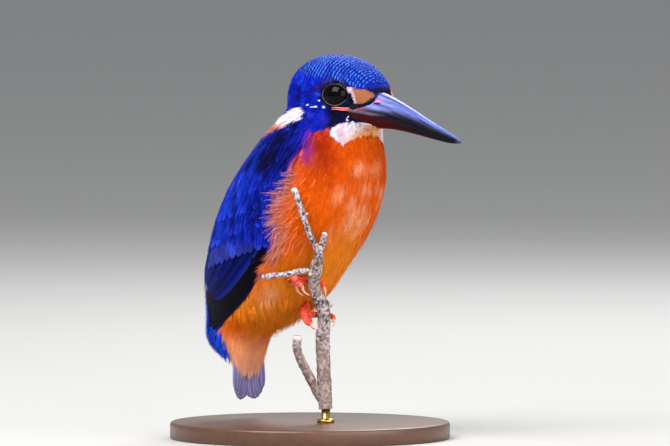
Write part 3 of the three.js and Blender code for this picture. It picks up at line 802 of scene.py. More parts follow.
class Coat:
    """Collects vanes and tufts, then makes one piece of them."""

    def __init__(self):
        self.values, self.faces, self.count = [], [], 0

    def add(self, points, faces, colours, roots, local, vane):
        """Takes feathers whose points have a place, colour, place in the patch and vane place."""
        bake = unwrap(roots)[:, None, None] + local * BAKE_PATCH
        self.values.append([np.broadcast_to(a, points.shape[:-1] + a.shape[-1:]).reshape(
            -1, a.shape[-1]) for a in (points, colours, bake, vane)])
        self.faces += [f.reshape(-1, f.shape[-1]) + self.count for f in faces]
        self.count += points[..., 0].size

    def lay(self, kind, spacing, inside, size, width, tone, ways_of=None, wander=0.09,
            moved=None, **shape):
        """Grows vanes or tufts from roots scattered where inside(places, y, z, angle) holds.

        size is their length, width their half width as a part of it, ways_of turns them from
        the lie, wander strays from it, and moved may shift their lines.
        """
        roots = guide.scatter(
            spacing, lambda p: inside(p, p[:, 1], p[:, 2], round_body(p)))
        ways = unit(lie(roots))
        if ways_of:
            ways = unit(ways_of(roots, ways))
        ways = ways + rng.normal(0, wander, roots.shape)
        lengths = (size(roots) if callable(size) else size) * jitter(len(roots))
        line = trace(roots, ways, lengths, LINE_STEPS)
        kind(self, moved(line) if moved else line, lengths * width, tone, **shape)

    def make(self, name, material):
        points, colours, bake, vane = (np.concatenate(a) for a in zip(*self.values))
        faces = sorted(self.faces, key=lambda f: -f.shape[1])
        obj = mesh_object(name, points, faces)
        set_uv(obj, "OFBake", bake)
        set_uv(obj, "Vane", vane)
        set_colours(obj, np.clip(colours, 0, 1))
        obj.data.materials.append(material)
        triangles = sum(len(f) * (f.shape[1] - 2) for f in faces)
        coat_triangles.append(triangles)
        print(f"{name}: {triangles} triangles{' TOO MANY' if triangles >= COAT_LIMIT else ''}")
        finish_piece(obj)


# stations along and across a feather, finer for the ones that show more
BODY_GRID = ((0.0, 0.3, 0.6, 0.84, 1.0), (-1, 0, 1))
FINE_GRID = ((0.0, 0.25, 0.5, 0.68, 0.8, 0.9, 0.96, 1.0), (-1, -0.55, 0, 0.55, 1))
CROWN_GRID = ((0, 0.4, 0.56, 0.66, 0.73, 0.79, 0.84, 0.89, 0.94, 1.0),
              (-1, -0.6, -0.2, 0.2, 0.6, 1))
QUILL_GRID = ((*np.linspace(0, 0.9, 12), 0.94, 0.97, 0.99, 1.0),
              (-1, -0.85, -0.5, -0.12, 0, 0.12, 0.5, 0.85, 1))


def rises(lift, count):
    """Heights over the skin of each feather's root and tip."""
    return np.broadcast_to(np.asarray(lift, float), (count, 2)).T[..., None]


def vanes(coat, line, halves, colour_of, grid=BODY_GRID, lift=(0.1, 0.6), droop=0.35,
          blunt=6.0, swell=0.45, uneven=0.12):
    """Adds one flat feather for each line, laid along the skin.

    colour_of(places, u, v, tints) gives the colour of each point from its place on the skin,
    its part of the length u, its part of the half width v and the feather's own tints.
    """
    u, v = (np.asarray(stations, float) for stations in grid)
    count, tall, wide = len(halves), len(u), len(v)
    centre, normal, way = (a[:, :, None] for a in between(
        line, np.broadcast_to(u, (count, tall))))
    across = np.cross(way, normal)
    outline = np.minimum(1, (u + 0.02) ** swell * 1.25) * np.sqrt(np.maximum(1 - u ** blunt, 0))
    tints = rng.random((count, 3))
    low, high = rises(lift, count)
    height = low + (high - low) * u[None] ** 0.8 + (tints[:, :1] - 0.5) * uneven
    spread = halves[:, None, None] * outline[None, :, None]
    offset = spread * v
    drop = droop * spread * v ** 2
    points = (centre + across * offset[..., None]
              + normal * (height[:, :, None] - drop)[..., None])
    u = u[None, :, None]
    colours = colour_of(np.repeat(centre, wide, 2), u, v[None, None], tints[:, None, None])
    index = np.arange(count * tall * wide).reshape(count, tall, wide)
    quads = np.stack([index[:, :-1, :-1], index[:, :-1, 1:], index[:, 1:, 1:],
                      index[:, 1:, :-1]], -1)
    coat.add(points, [quads], colours, line[0][:, 0], stacked(v * 0.5, u - 0.5),
             stacked(offset, u * line[3][:, None, None]))


def tufts(coat, line, halves, colour_of, strands, lift=(0.1, 0.7), thin=0.11,
          rows=(0, 0.38, 0.74), stray=0.16, curl=0.0):
    """Adds one tuft of fine barbs for each line: narrow ribbons that fan out along the skin."""
    count = len(halves)
    halves = halves[:, None, None]
    tints = rng.random((count, 3))
    u = np.append(rows, 1.0)
    slot = (np.arange(strands) + 0.5) / strands * 2 - 1
    share = (slot[None] + rng.normal(0, 0.5 / strands, (count, strands)))[..., None]
    reach = rng.uniform(0.6, 1.0, (count, strands))[..., None] * (1 - 0.2 * share ** 2)
    centre, normal, way = between(line, u * reach)
    across = np.cross(way, normal)
    fan = share * halves * (0.35 + 0.65 * u) + rng.normal(0, curl, (count, strands, 1)) * u ** 2
    low, high = rises(lift, count)[..., None]
    height = (low + (high - low) * u * reach
              + rng.uniform(-0.6, 1.0, (count, strands, 1)) * stray * u ** 2
              - 0.2 * share ** 2 * halves * u)
    spine = centre + across * fan[..., None] + normal * height[..., None]
    offset = across[:, :, :-1] * (thin * (1 - 0.7 * u[:-1]))[:, None]
    body = np.stack([spine[:, :, :-1] - offset, spine[:, :, :-1] + offset], 3)
    number = len(u) - 1
    points = np.concatenate([body.reshape(count, strands, number * 2, 3), spine[:, :, -1:]], 2)
    each = number * 2 + 1
    start = np.arange(count * strands)[:, None] * each
    rung = start + np.arange(number - 1) * 2
    quads = np.stack([rung, rung + 1, rung + 3, rung + 2], -1)
    tris = start + (each - 3, each - 2, each - 1)
    own = rng.random((count, strands, 1))
    along = np.append(np.repeat(u[:-1], 2), 1.0)
    colours = colour_of(np.repeat(centre[:, :, 1:2], each, 2), along, own, tints[:, None, None])
    coat.add(points, [quads, tris], colours, line[0][:, 0], stacked(share * 0.5, along - 0.5),
             stacked(0, along))


# ------------------------------------------------------------------ materials

BARB_PITCH, BARB_SLANT = 0.3, 1.3  # distance between the barbs of a vane, and how they slant
RELIEF = 0.0001                    # height of fine relief, in metres

class Nodes:
    """A material's node tree with its Principled shader."""

    def __init__(self, name, **sockets):
        self.material = bpy.data.materials.new(name)
        self.material.use_nodes = True
        self.tree = self.material.node_tree
        self.shader = self.tree.nodes["Principled BSDF"]
        for key, value in sockets.items():
            self.shader.inputs[key.replace("_", " ")].default_value = value

    def node(self, kind, **values):
        made = self.tree.nodes.new("ShaderNode" + kind)
        for key, value in values.items():
            setattr(made, key, value)
        return made

    def feed(self, *pairs):
        """Sets or links each socket from a number, a linear colour or another socket."""
        for socket, value in pairs:
            if isinstance(value, (int, float, tuple)):
                socket.default_value = value
            else:
                self.tree.links.new(value, socket)

    def maths(self, operation, a, b=0.0):
        """A Math node of two sockets or numbers."""
        made = self.node("Math", operation=operation)
        self.feed(*zip(made.inputs, (a, b)))
        return made.outputs[0]

    def noise(self, scale, detail=3.0, stretch=None):
        """Noise in the object's own coordinates, optionally stretched along its axes."""
        place = self.node("TexCoord").outputs["Object"]
        if stretch:
            mapping = self.node("Mapping")
            self.feed((mapping.inputs["Scale"], stretch), (mapping.inputs["Vector"], place))
            place = mapping.outputs["Vector"]
        made = self.node("TexNoise")
        self.feed((made.inputs["Scale"], scale), (made.inputs["Detail"], detail),
                  (made.inputs["Vector"], place))
        return made.outputs["Fac"]

    def bump(self, height, strength, distance):
        made = self.node("Bump")
        self.feed((made.inputs["Strength"], strength), (made.inputs["Distance"], distance),
                  (made.inputs["Height"], height),
                  (self.shader.inputs["Normal"], made.outputs["Normal"]))

    def toned(self, value, low, high):
        """The mesh's own colour, darkened and lightened by a value from 0 to 1."""
        ramp = self.node("ValToRGB")
        for element, grey in zip(ramp.color_ramp.elements, (low, high)):
            element.color = (grey, grey, grey, 1)
        own = self.node("VertexColor", layer_name="Coat").outputs["Color"]
        product = self.node("Mix", data_type="RGBA", blend_type="MULTIPLY")
        self.feed((ramp.inputs["Fac"], value), (product.inputs[0], 1.0),
                  (product.inputs[6], own), (product.inputs[7], ramp.outputs["Color"]),
                  (self.shader.inputs["Base Color"], product.outputs[2]))


def plumage_material(name, roughness, sheen, tint, strength):
    """Feather colour from the mesh, with barbs drawn across each vane as tone and relief."""
    tint = (*linear(tint), 1)
    m = Nodes(name, Roughness=roughness, Sheen_Weight=sheen, Sheen_Roughness=0.35,
              Sheen_Tint=tint, Specular_Tint=tint, Specular_IOR_Level=0.06)
    uv = m.node("UVMap", uv_map="Vane").outputs["UV"]
    parts = m.node("SeparateXYZ")
    m.feed((parts.inputs[0], uv))
    aside = m.maths("ABSOLUTE", parts.outputs["X"])
    slant = m.maths("SUBTRACT", parts.outputs["Y"],
                    m.maths("MULTIPLY", aside, BARB_SLANT))
    wave = m.maths("SINE", m.maths("MULTIPLY", slant, 2 * math.pi / BARB_PITCH))
    height = m.maths("ADD", m.maths("MULTIPLY", wave, 0.35), m.noise(900, 2.0))
    m.toned(height, 0.8, 1.0)
    m.bump(height, strength, RELIEF)
    return m.material


def plain_material(name, scale, low, high, strength, depth=RELIEF, stretch=None, detail=4.0,
                   **sockets):
    """The mesh's own colour with noise as tone and relief."""
    m = Nodes(name, **sockets)
    grain = m.noise(scale, detail, stretch)
    m.toned(grain, low, high)
    m.bump(grain, strength, depth)
    return m.material


BLUE_COAT = plumage_material("blue_coat", 0.55, 0.015, (110, 130, 255), 0.3)
SOFT_COAT = plumage_material("soft_coat", 0.75, 0.05, (255, 190, 150), 0.2)
SKIN = plain_material("skin", 1400, 0.7, 1.0, 0.4, Roughness=0.7, Specular_IOR_Level=0.1)
HORN = plain_material("horn", 500, 0.9, 1.05, 0.08, 0.0002, (1, 0.15, 1), Roughness=0.36,
                      Specular_IOR_Level=0.08)
LID = plain_material("lid", 1600, 0.8, 1.1, 0.3, Roughness=0.5, Specular_IOR_Level=0.2)
EYEBALL = plain_material("eyeball", 300, 0.9, 1.0, 0.0, Roughness=0.05,
                         Specular_IOR_Level=0.03, Coat_Weight=0.16, Coat_Roughness=0.02)
SCALES = plain_material("scales", 1100, 0.8, 1.1, 0.35, Roughness=0.5)
BARK = plain_material("bark", 700, 0.62, 1.2, 0.9, 0.0003, (1, 1, 0.35), Roughness=0.88,
                      Specular_IOR_Level=0.15)
TAIL = plain_material("tail", 1500, 0.85, 1.1, 0.25, RELIEF, (1, 1, 0.1), Roughness=0.5,
                      Specular_IOR_Level=0.25)
WALNUT = plain_material("walnut", 45, 0.55, 1.25, 0.12, 0.0002, (1, 9, 9), 5.0, Roughness=0.42,
                        Coat_Weight=0.25, Coat_Roughness=0.25)
BRASS = plain_material("brass", 300, 0.9, 1.05, 0.05, Roughness=0.28, Metallic=1.0)

# ------------------------------------------------------------------ tones and places


def eye_place(points):
    """Places in the nearer eye's own axes, divided by the lids' half length and height."""
    ahead, up, out = ((one_side(points) - EYE_MIDDLE) @ eye_axes(LEFT).T).T
    return ahead / EYE_OPENING[0], up / EYE_OPENING[1], out


def near_eye(points, reach):
    ahead, up, out = eye_place(points)
    return (np.hypot(ahead, up) < reach) & (out > 0)


def on_face(line, reach=1.2):
    """Slides the stations of lines that lie over an eye out to the edge of its lids."""
    places = line[0].reshape(-1, 3)
    ahead, up, out = eye_place(places)
    away = np.hypot(ahead, up)
    push = (np.maximum(reach / np.maximum(away, 1e-3), 1) - 1) * (out > 0) * (away < reach)
    axes = eye_axes(LEFT)
    move = ((ahead * push * EYE_OPENING[0])[:, None] * axes[0]
            + (up * push * EYE_OPENING[1])[:, None] * axes[1])
    move[:, 0] *= np.sign(places[:, 0])
    return (places + move).reshape(line[0].shape), *line[1:]


def in_bill(points):
    """Inside the feathers' front edge, where the bill stands free."""
    y, z = points[:, 1], points[:, 2]
    ridge, _, keel, _ = bill_at(np.minimum(y, -BILL_ROOT))
    return (y < feather_edge(z)) & (z > keel) & (z < ridge)


def soft_tone(low, high, root, glint=0.0):
    """Soft plumage: the markings, with each tuft and barb a little its own; darker at the root,
    partly as painted shade between the tufts, with painted glints on some barbs.
    """
    def colour_of(places, u, own, tints):
        shade = low + (high - low) * (0.4 * tints[..., 0] + 0.6 * own)
        # root darkening: partly painted shade between the tufts
        base = markings(places) * (shade * (root + (1 - root) * step(0.0, 0.5, u)))[..., None]
        # painted glints: some barbs lit brighter away from their roots
        lit = step(0.82, 0.95, own) * step(0.2, 0.6, u) * glint
        return mix(base, base * 1.8 + 0.02, lit)
    return colour_of


def vane_tone(low=0.82, high=1.12):
    """A plain body feather: the markings, darker at the root, partly as painted shade where the
    feathers overlap, paler at the fringe.
    """
    def colour_of(places, u, v, tints):
        shade = (low + (high - low) * tints[..., 0]) * (0.7 + 0.3 * step(0.1, 0.7, u))
        shade = shade * (1 + 0.12 * step(0.75, 1.0, np.maximum(np.abs(v), u)))
        return markings(places) * shade[..., None]
    return colour_of


def streak_tone(low, high, glow, tip, share):
    """Blue feather: some have a brighter middle, and some a bright spot at the tip."""
    def colour_of(places, u, v, tints):
        base = markings(places)
        middle = bell(v, 0, 0.5)
        # darker towards the root, partly as painted shade where the feathers overlap
        shade = (low + (high - low) * tints[..., 0]) * (0.5 + 0.5 * step(0.15, 0.7, u))
        lit = middle * step(0.3, 0.8, u) * (tints[..., 1] > 1 - share)
        spot = (middle * bell(u, 0.84, 0.12) * (tints[..., 2] > 1 - share)
                * step(0.03, 0.01, base[..., 0]))
        return painted(base * shade[..., None], (glow, lit * 0.5), (tip, spot * 0.75))
    return colour_of


def by_height(heights, lengths, vary=None):
    """A length at each height, times a random part between two limits."""
    def size(p):
        length = np.interp(p[:, 2], heights, lengths)
        return length * rng.uniform(*vary, len(p)) if vary else length
    return size


def leaning(*lean):
    return lambda roots, ways: ways + lean


# ------------------------------------------------------------------ coat by tract


def face_coat():
    """The shortest plumage: lores, round the eye, chin and front of the cheeks."""
    coat = Coat()
    coat.lay(tufts, 0.6,
             lambda p, y, z, angle: ((y < -15) & (z > 94.5) & (z < brow_at(y) + 0.2)
                                     & ~near_eye(p, 1.22) & ~in_bill(p)),
             lambda p: np.interp(p[:, 1], (-31, -25, -19, -15), (0.75, 0.95, 1.5, 2.0)),
             0.26, soft_tone(0.65, 1.4, 0.6, 0.3), wander=0.14, moved=on_face,
             strands=6, lift=(0.02, 0.3), thin=0.06, stray=0.1)
    coat.make("coat_face", BLUE_COAT)


def cheek_coat():
    """Ear coverts, sides of the neck, nape and the pale patch."""
    def inside(p, y, z, angle):
        return ((y > -16) & (z > 85) & (z < np.maximum(brow_at(y), bars_at(y) - 2))
                & (angle > border(z) - 6) & ~near_eye(p, 1.2))

    size = by_height((85, 98, 106), (4.2, 3.2, 2.4))
    coat = Coat()
    coat.lay(vanes, 1.5, inside, size, 0.3, vane_tone(0.6, 1.0), lift=(0.0, 0.35), blunt=3.0)
    coat.lay(tufts, 0.9, inside, size, 0.24, soft_tone(0.5, 1.5, 0.55, 0.35), wander=0.12,
             strands=9, lift=(0.1, 0.6), thin=0.07, stray=0.18)
    coat.make("coat_cheek", BLUE_COAT)


CROWN_PITCH = 1.18                 # distance between two rows of crown feathers
CROWN_WIDTH = 1.4
CROWN_START = 0.05                 # where the first row lies, in radians from the bill
CROWN_RINGS = 45
CROWN_MIDDLE = (0, -12.5, 101.5)
CROWN_REACH = 13.8


def crown_tone(places, u, v, tints):
    """Dark feather with one bright bar that follows its rounded tip."""
    y, z = places[..., 1], places[..., 2]
    bar = bell(u, 0.85 - 0.03 * v ** 2 - 0.015 * tints[..., 2], 0.075)
    stroke = step(0.36, 0.6, noise(places, (2.2, 2.2, 1.6)))
    barred = step(-0.6, 0.8, z - bars_at(y))
    glow = bar * (0.4 + 0.6 * stroke) * (0.7 + 0.3 * tints[..., 0]) * (0.12 + 0.88 * barred)
    dark = markings(places) * (0.7 + 0.4 * tints[..., 1:2])
    dark = dark * (1 + 0.3 * step(-14, -28, y)[..., None] * (0.4, 1.6, 0.6))
    return mix(dark, CROWN_BAND, np.clip(glow, 0, 1))


def crown_coat():
    """Rows of small barred feathers over the crown, from the bill to the nape."""
    hits = []
    turn = CROWN_START
    for ring in range(CROWN_RINGS):
        turn += CROWN_PITCH * (0.62 + 0.38 * step(0.5, 1.1, turn)) / CROWN_REACH
        reach = CROWN_REACH * math.sin(min(turn, math.pi / 2)) + 1.5
        count = max(int(math.pi * reach / CROWN_WIDTH), 5)
        spin = (np.arange(count + 1) + 0.5 * (ring % 2)) / count * math.pi - math.pi / 2
        for s in spin + rng.normal(0, 0.01, len(spin)):
            way = (math.sin(s) * math.sin(turn), -math.cos(turn), math.cos(s) * math.sin(turn))
            hits.append(guide.tree.ray_cast(CROWN_MIDDLE, way)[0])
    roots, _ = guide.nearest(np.array([hit for hit in hits if hit]))
    y, z = roots[:, 1], roots[:, 2]
    roots = roots[(z > np.maximum(brow_at(y) - 0.2, bars_at(y) - 3)) & ~in_bill(roots)
                  & (y < 1) & ~near_eye(roots, 1.25)]
    size = np.interp(roots[:, 1], (-30, -25, -5, 5), (1.5, 2.1, 2.6, 3.0))
    roots = roots + lie(roots) * rng.normal(0, 0.05, (len(roots), 1))
    half = CROWN_WIDTH * 0.62 * np.interp(roots[:, 1], (-30, -23), (0.75, 1))
    coat = Coat()
    vanes(coat, on_face(trace(roots, lie(roots), size, 4)), half, crown_tone, CROWN_GRID,
          lift=(0.05, 0.42), droop=0.25, blunt=7.0, uneven=0.05)
    coat.make("coat_crown", BLUE_COAT)


def throat_coat():
    """The white throat: silky, longest at its lower corners."""
    def inside(p, y, z, angle):
        low = throat_low(angle) + np.interp(angle, (0, 22, 30), (1.9, 1.5, 1.0))
        return (z > low) & (z < throat_top(angle) + 0.4) & (angle < 43) & ~in_bill(p)

    coat = Coat()
    coat.lay(tufts, 0.6, inside, 2.5, 0.2, soft_tone(0.88, 1.04, 0.94), leaning(0, 0.3, -0.5),
             0.05, strands=11, lift=(0.2, 0.9), thin=0.085, stray=0.06)
    coat.make("coat_throat", SOFT_COAT)


def flank_ways(roots, ways):
    """The flank's barbs sweep back towards the wing."""
    z = roots[:, 2]
    sweep = step(20, 0, border(z) - round_body(roots)) * step(44, 52, z) * step(90, 82, z)
    return ways + np.array([0, 1.1, 0.25]) * sweep[:, None]


def front_coat(name, low, high, spacing, size, full=0.85):
    """Soft underparts between two heights: broad vanes below, long fine barbs above."""
    def inside(p, y, z, angle):
        throat = (z > throat_low(angle) + 0.3) & (angle < 42)
        return (z > low) & (z < high) & (angle < border(z) - 1.5) & ~throat & ~in_bill(p)

    coat = Coat()
    coat.lay(vanes, spacing * 2.0, inside, size * 1.1, 0.32, vane_tone(), flank_ways,
             lift=(0.0, 0.4), blunt=3.0)
    coat.lay(tufts, spacing, inside, size, 0.17, soft_tone(0.72, 1.24, 0.8, 0.12), flank_ways,
             strands=12, lift=(0.15, full), thin=0.065, stray=0.22, curl=0.12)
    coat.make(name, SOFT_COAT)


def vent_coat():
    """The loose fringe that hangs under the belly in front of the tail."""
    coat = Coat()
    coat.lay(tufts, 1.0,
             lambda p, y, z, angle: (z > 33) & (z < 43) & (y < 19) & (np.abs(p[:, 0]) < 12),
             4.6, 0.2, soft_tone(0.62, 1.1, 0.85), leaning(0, -0.1, -0.9), 0.12,
             strands=9, lift=(0.3, 3.0), thin=0.075, stray=0.5, curl=0.2)
    coat.make("coat_fringe_vent", SOFT_COAT)


def undertail_coat():
    """Long coverts under the tail, in rows that overlap down to its tips."""
    def inside(p, y, z, angle):
        end = 21.2 + 0.05 * (np.abs(p[:, 0]) - 2.2) ** 2
        side = np.minimum(border(z) + np.interp(z, (24, 28), (14, 3)), 84)
        return (z > end) & (z < 35.5) & (angle < side)

    def down(roots, ways):
        return ways + (0, 0.1, -1.2) - roots * (0.05, 0, 0)

    def barb_tone(places, u, own, tints):
        z = places[..., 2]
        shade = 0.75 + 0.2 * own + 0.3 * noise(places, (0.9, 0.9, 6.0))
        return painted(VENT_ORANGE, (DEEP_ORANGE, step(25, 36, z)),
                       (TAIL_EDGE, step(0.5, 1.0, u) * step(25, 21, z) * 0.4)) * shade[..., None]

    def covert_shade(places, u, v, tints):
        return barb_tone(places, u, tints[..., 0], tints)

    size = by_height((22, 34), (5.6, 8.0), (0.7, 1.15))
    coat = Coat()
    coat.lay(vanes, 1.7, inside, size, 0.2, covert_shade, down, 0.05, lift=(0.2, 0.5), blunt=2.2)
    coat.lay(tufts, 0.8, inside, size, 0.11, barb_tone, down, 0.05, strands=11,
             lift=(0.3, 1.0), thin=0.065, stray=0.16, curl=0.05)
    coat.make("coat_undertail", SOFT_COAT)


def back_coat():
    """Mantle and shoulders."""
    coat = Coat()
    coat.lay(vanes, 1.6, lambda p, y, z, angle: (angle > border(z) - 2) & (z > 70) & (z < 95),
             by_height((70, 82, 95), (5.0, 4.4, 3.4)), 0.27,
             streak_tone(0.6, 1.25, COBALT, AZURE, 0.3), grid=FINE_GRID, lift=(0.1, 0.7))
    coat.make("coat_back", BLUE_COAT)


def barb_coat():
    """Loose fine barbs over the mantle and wing coverts."""
    coat = Coat()
    coat.lay(tufts, 0.95, lambda p, y, z, angle: (angle > border(z) - 1) & (z > 61) & (z < 93),
             4.4, 0.15, soft_tone(0.25, 1.5, 0.8, 0.6), wander=0.05,
             strands=7, lift=(1.15, 1.6), thin=0.055, stray=0.12)
    coat.make("coat_barbs", BLUE_COAT)


def nape_coat():
    """Longer loose tufts on the pale patch at the side of the neck."""
    def inside(p, y, z, angle):
        off = np.abs(z - patch_middle(angle))
        return (off < patch_half(angle) - 0.2) & (angle > 96) & (angle < 146)

    coat = Coat()
    coat.lay(tufts, 0.75, inside, by_height((90, 98), (4.6, 2.8)), 0.17,
             soft_tone(0.8, 1.15, 0.85), strands=9, lift=(0.3, 1.5), thin=0.06, stray=0.25,
             curl=0.1)
    coat.make("coat_nape", SOFT_COAT)


def rump_coat():
    """Long silky azure plumes from the lower back to over the tail."""
    def inside(p, y, z, angle):
        behind = (y > wing_rear(z) - 1.0) & (z < 52)
        low = np.maximum(border(z) + 1, np.interp(z, (24, 28), (80, 74)))
        strip = (np.abs(p[:, 0]) < 8.5) | behind | (z < 31)
        return strip & (angle > low) & (z < 84) & (z > 24.2)

    coat = Coat()
    coat.lay(tufts, 1.3, inside, by_height((24, 28, 34, 84), (4.4, 6.4, 7.2, 5.0)), 0.15,
             soft_tone(0.5, 1.4, 0.7, 0.2), leaning(0, 0.05, -0.35), 0.06,
             strands=10, lift=(0.4, 1.6), thin=0.11, stray=0.4, curl=0.1)
    coat.make("coat_rump", BLUE_COAT)


def fringe_coat():
    """The flank's long loose barbs that lie over the wing's front edge, and fewer before it."""
    def inside(p, y, z, angle):
        gap = angle - border(z)
        fewer = np.interp(gap, (-26, -9), (0.04, 0.3)) * step(54, 66, z)
        chance = step(84, 72, z) * np.where(gap > -8, 1, fewer)
        return (gap > -26) & (gap < 0) & (z > 55.5) & (rng.random(len(p)) < chance)

    def back(roots, _):
        z = roots[:, 2]
        gap = round_body(roots) - border(z)
        return stacked(0, 1, -0.2 - 1.1 * np.maximum(step(72, 55, z), 0.6 * step(-6, -16, gap)))

    def tone(places, u, own, tints):
        z = places[..., 2]
        near_wing = step(-16, -6, round_body(places) - border(z))
        base = mix(mix(ORANGE, RED_ORANGE, 0.6 * step(70, 82, z)),
                   mix(PALE_ORANGE, FLANK_PINK, near_wing),
                   (0.15 + 0.85 * step(0.1, 0.55, u) * tints[..., 0] ** 0.5)
                   * (0.35 + 0.65 * near_wing))
        # near the wing many strands are darker: painted shadow that the strands cast on one
        # another
        dark = 0.75 - 0.55 * near_wing
        pale = step(0.7, 0.95, own) * step(0.3, 0.8, u) * (0.15 + 0.35 * near_wing)
        return mix(base * (dark + (1.15 - dark) * own)[..., None], PINK_WHITE, pale)

    coat = Coat()
    coat.lay(tufts, 0.82, inside, by_height((50, 60, 76, 84), (5.2, 6.2, 6.0, 4.0), (0.6, 1.15)),
             0.1, tone, back, 0.13, strands=5, lift=(1.1, 2.0), thin=0.042, stray=0.3,
             rows=(0, 0.3, 0.6, 0.85), curl=0.2)
    coat.make("coat_fringe", SOFT_COAT)


FLECK_BARBS = 5


def fleck_coat():
    """Short white barbs on the cheek."""
    coat = Coat()
    for side in (RIGHT, LEFT):
        for y, z, length in FLECKS:
            places, _ = guide.beside(np.array([y]), np.array([z]), side)
            roots = places + rng.normal(0, 0.16, (FLECK_BARBS, 3))
            line = trace(roots, lie(roots), length * jitter(FLECK_BARBS, 0.3), 3)
            tufts(coat, line, np.full(FLECK_BARBS, 0.1), lambda *_: WHITE * 0.9, 3,
                  lift=(0.35, 0.6), thin=0.07, stray=0.08)
    coat.make("coat_flecks", SOFT_COAT)


# ------------------------------------------------------------------ wings


def quill_tone(*colours):
    """A long wing feather, from the colours of its inner and outer web, edge and shaft."""
    inner, outer, edge, shaft = (linear(c) for c in colours)

    def colour_of(places, u, v, tints):
        streak = noise(stacked(v * 3 + tints[..., 0] * 40, u * 2, tints[..., 1] * 9),
                       (0.35, 1.2, 1.0))
        colour = mix(inner, outer, step(0.3, 0.8, streak) * step(0.1, 0.5, u))
        return painted(colour * (0.75 + 0.5 * tints[..., 1:2]),
                       (edge, step(0.72, 0.95, np.abs(v)) * (0.45 + 0.5 * streak)),
                       (shaft, step(0.1, 0.04, np.abs(v)) * 0.7))
    return colour_of


def covert_tone(places, u, v, tints):
    """Wing coverts: dark at the root as painted shade in the gaps under the rows above, streaked
    blue, lilac grey towards the edge.
    """
    z = places[..., 2]
    low = step(66, 56, z)
    edge = step(0.5, 1.0, np.abs(v)) * step(0.3, 0.8, u)
    # painted shade: each covert darker towards its root
    shade = (0.55 + 0.45 * step(0.1, 0.6, u)) * (0.75 + 0.5 * tints[..., 0])
    spot = bell(v, tints[..., 0] - 0.5, 0.3) * bell(u, 0.86, 0.1) * (tints[..., 2] > 0.6)
    colour = painted(DEEP_BLUE * 0.8,
                     (COVERT_BLUE, step(0.3, 0.7, noise(places, (0.7, 0.7, 1.5)))),
                     (COVERT_GREY, 0.7 * step(61, 55, z)),
                     (SMOKE, edge * (0.1 + 0.35 * low) * tints[..., 1]))
    return mix(colour * shade[..., None], COBALT * 1.2, spot * (0.8 - 0.5 * low))


# each group of wing feathers is drawn in side view between its first and last feather:
# corners of both as (y, z), how many, half width, lift of first and last at their tips, tone
QUILLS = (
    # primaries, secondaries
    (((-0.6, 66), (2.0, 56), (5.3, 51.2), (11.3, 45.5), (17.4, 41.4), (24.6, 36.9), (34.8, 31.1)),
     ((2.5, 66), (6, 58.5), (12, 53), (18.5, 48.6), (24.5, 45), (29, 42.6), (32.6, 41)),
     8, 1.6, (0.75, 1.0), quill_tone((4, 2, 4), (10, 6, 10), (34, 26, 60), (22, 14, 20))),
    (((0.4, 66), (4.3, 58.9), (11.9, 51.5), (19.9, 45.9), (27.3, 41.9)),
     ((19, 80), (24, 71), (28, 62), (31, 55), (33.5, 48.5)),
     9, 2.5, (1.0, 1.2), quill_tone((2, 6, 54), (4, 22, 124), (40, 48, 130), (4, 4, 30))))
SCAPULAR_TONE = streak_tone(0.6, 1.2, COBALT, LILAC, 0.4)
COVERTS = (
    # greater, median, lesser and upper coverts
    (((-3.4, 67.4), (-1.6, 63), (0.6, 58.2)), ((22, 60), (24.4, 55.4), (26.6, 50.4)),
     11, 1.6, (1.25, 1.35), covert_tone),
    (((-4.0, 72.9), (-2.4, 68.9), (-0.6, 64.8)), ((21, 66.5), (23, 62), (25, 57.6)),
     12, 1.4, (1.3, 1.4), covert_tone),
    (((-4.6, 78.4), (-3.4, 74.4), (-1.8, 70)), ((20, 72.4), (22, 68.2), (24, 63.6)),
     13, 1.25, (1.3, 1.4), covert_tone),
    (((-5.4, 83.4), (-4.4, 79.8), (-3.0, 75.6)), ((18, 78), (20.2, 74), (22.4, 69.6)),
     14, 1.15, (1.3, 1.4), covert_tone),
    # scapulars
    (((14, 73), (17.6, 65), (20.6, 57.4)), ((25, 71), (28.2, 62.5), (30.6, 54.6)),
     6, 2.0, (1.3, 1.4), SCAPULAR_TONE),
    (((10, 80), (13, 72.5), (16, 65.5)), ((22, 78), (24.6, 70.5), (27, 63.5)),
     7, 1.8, (1.35, 1.45), SCAPULAR_TONE),
    (((7, 87), (10, 80.5), (12.6, 74)), ((17.5, 85.5), (21, 78.5), (24, 72)),
     7, 1.6, (1.35, 1.45), SCAPULAR_TONE))


def wing_group(coat, side, grid, blunt, first, last, count, half, lift, tone):
    share = np.linspace(0, 1, count)
    first, last = np.array(first, float), np.array(last, float)
    paths = (first + (last - first) * share[:, None, None]
             + rng.normal(0, 0.12, (count,) + first.shape))
    tip = np.interp(share, (0, 1), lift)
    vanes(coat, drawn(paths, side, 8), half * jitter(count, 0.06), tone, grid,
          lift=np.stack([tip * 0.5, tip], 1), droop=0.12, blunt=blunt, swell=0.3, uneven=0.05)


def wing_coats():
    for side, name in SIDES:
        coat = Coat()
        for groups, grid, blunt in ((QUILLS, QUILL_GRID, 9.0), (COVERTS, FINE_GRID, 5.0)):
            for group in groups:
                wing_group(coat, side, grid, blunt, *group)
        coat.make("coat_wing_" + name, BLUE_COAT)


# ------------------------------------------------------------------ tail

# each feather's distance from the middle at its root and tip, height of its tip, and layer
TAIL_FEATHERS = ((0.7, 1.2, 11.3, 0.55), (1.2, 2.2, 10.9, 0.35), (1.7, 3.0, 10.8, 0.15),
                 (2.3, 3.8, 11.2, -0.05), (2.9, 4.6, 12.2, -0.25), (3.5, 5.3, 13.8, -0.45))
TAIL_VANE = 1.9
TAIL_THICKNESS = 0.14
TAIL_UNDER = linear((114, 108, 152))
TAIL_UNDER_DARK = linear((78, 70, 112))
TAIL_EDGE = linear((162, 156, 206))
TAIL_OVER = linear((16, 52, 186))


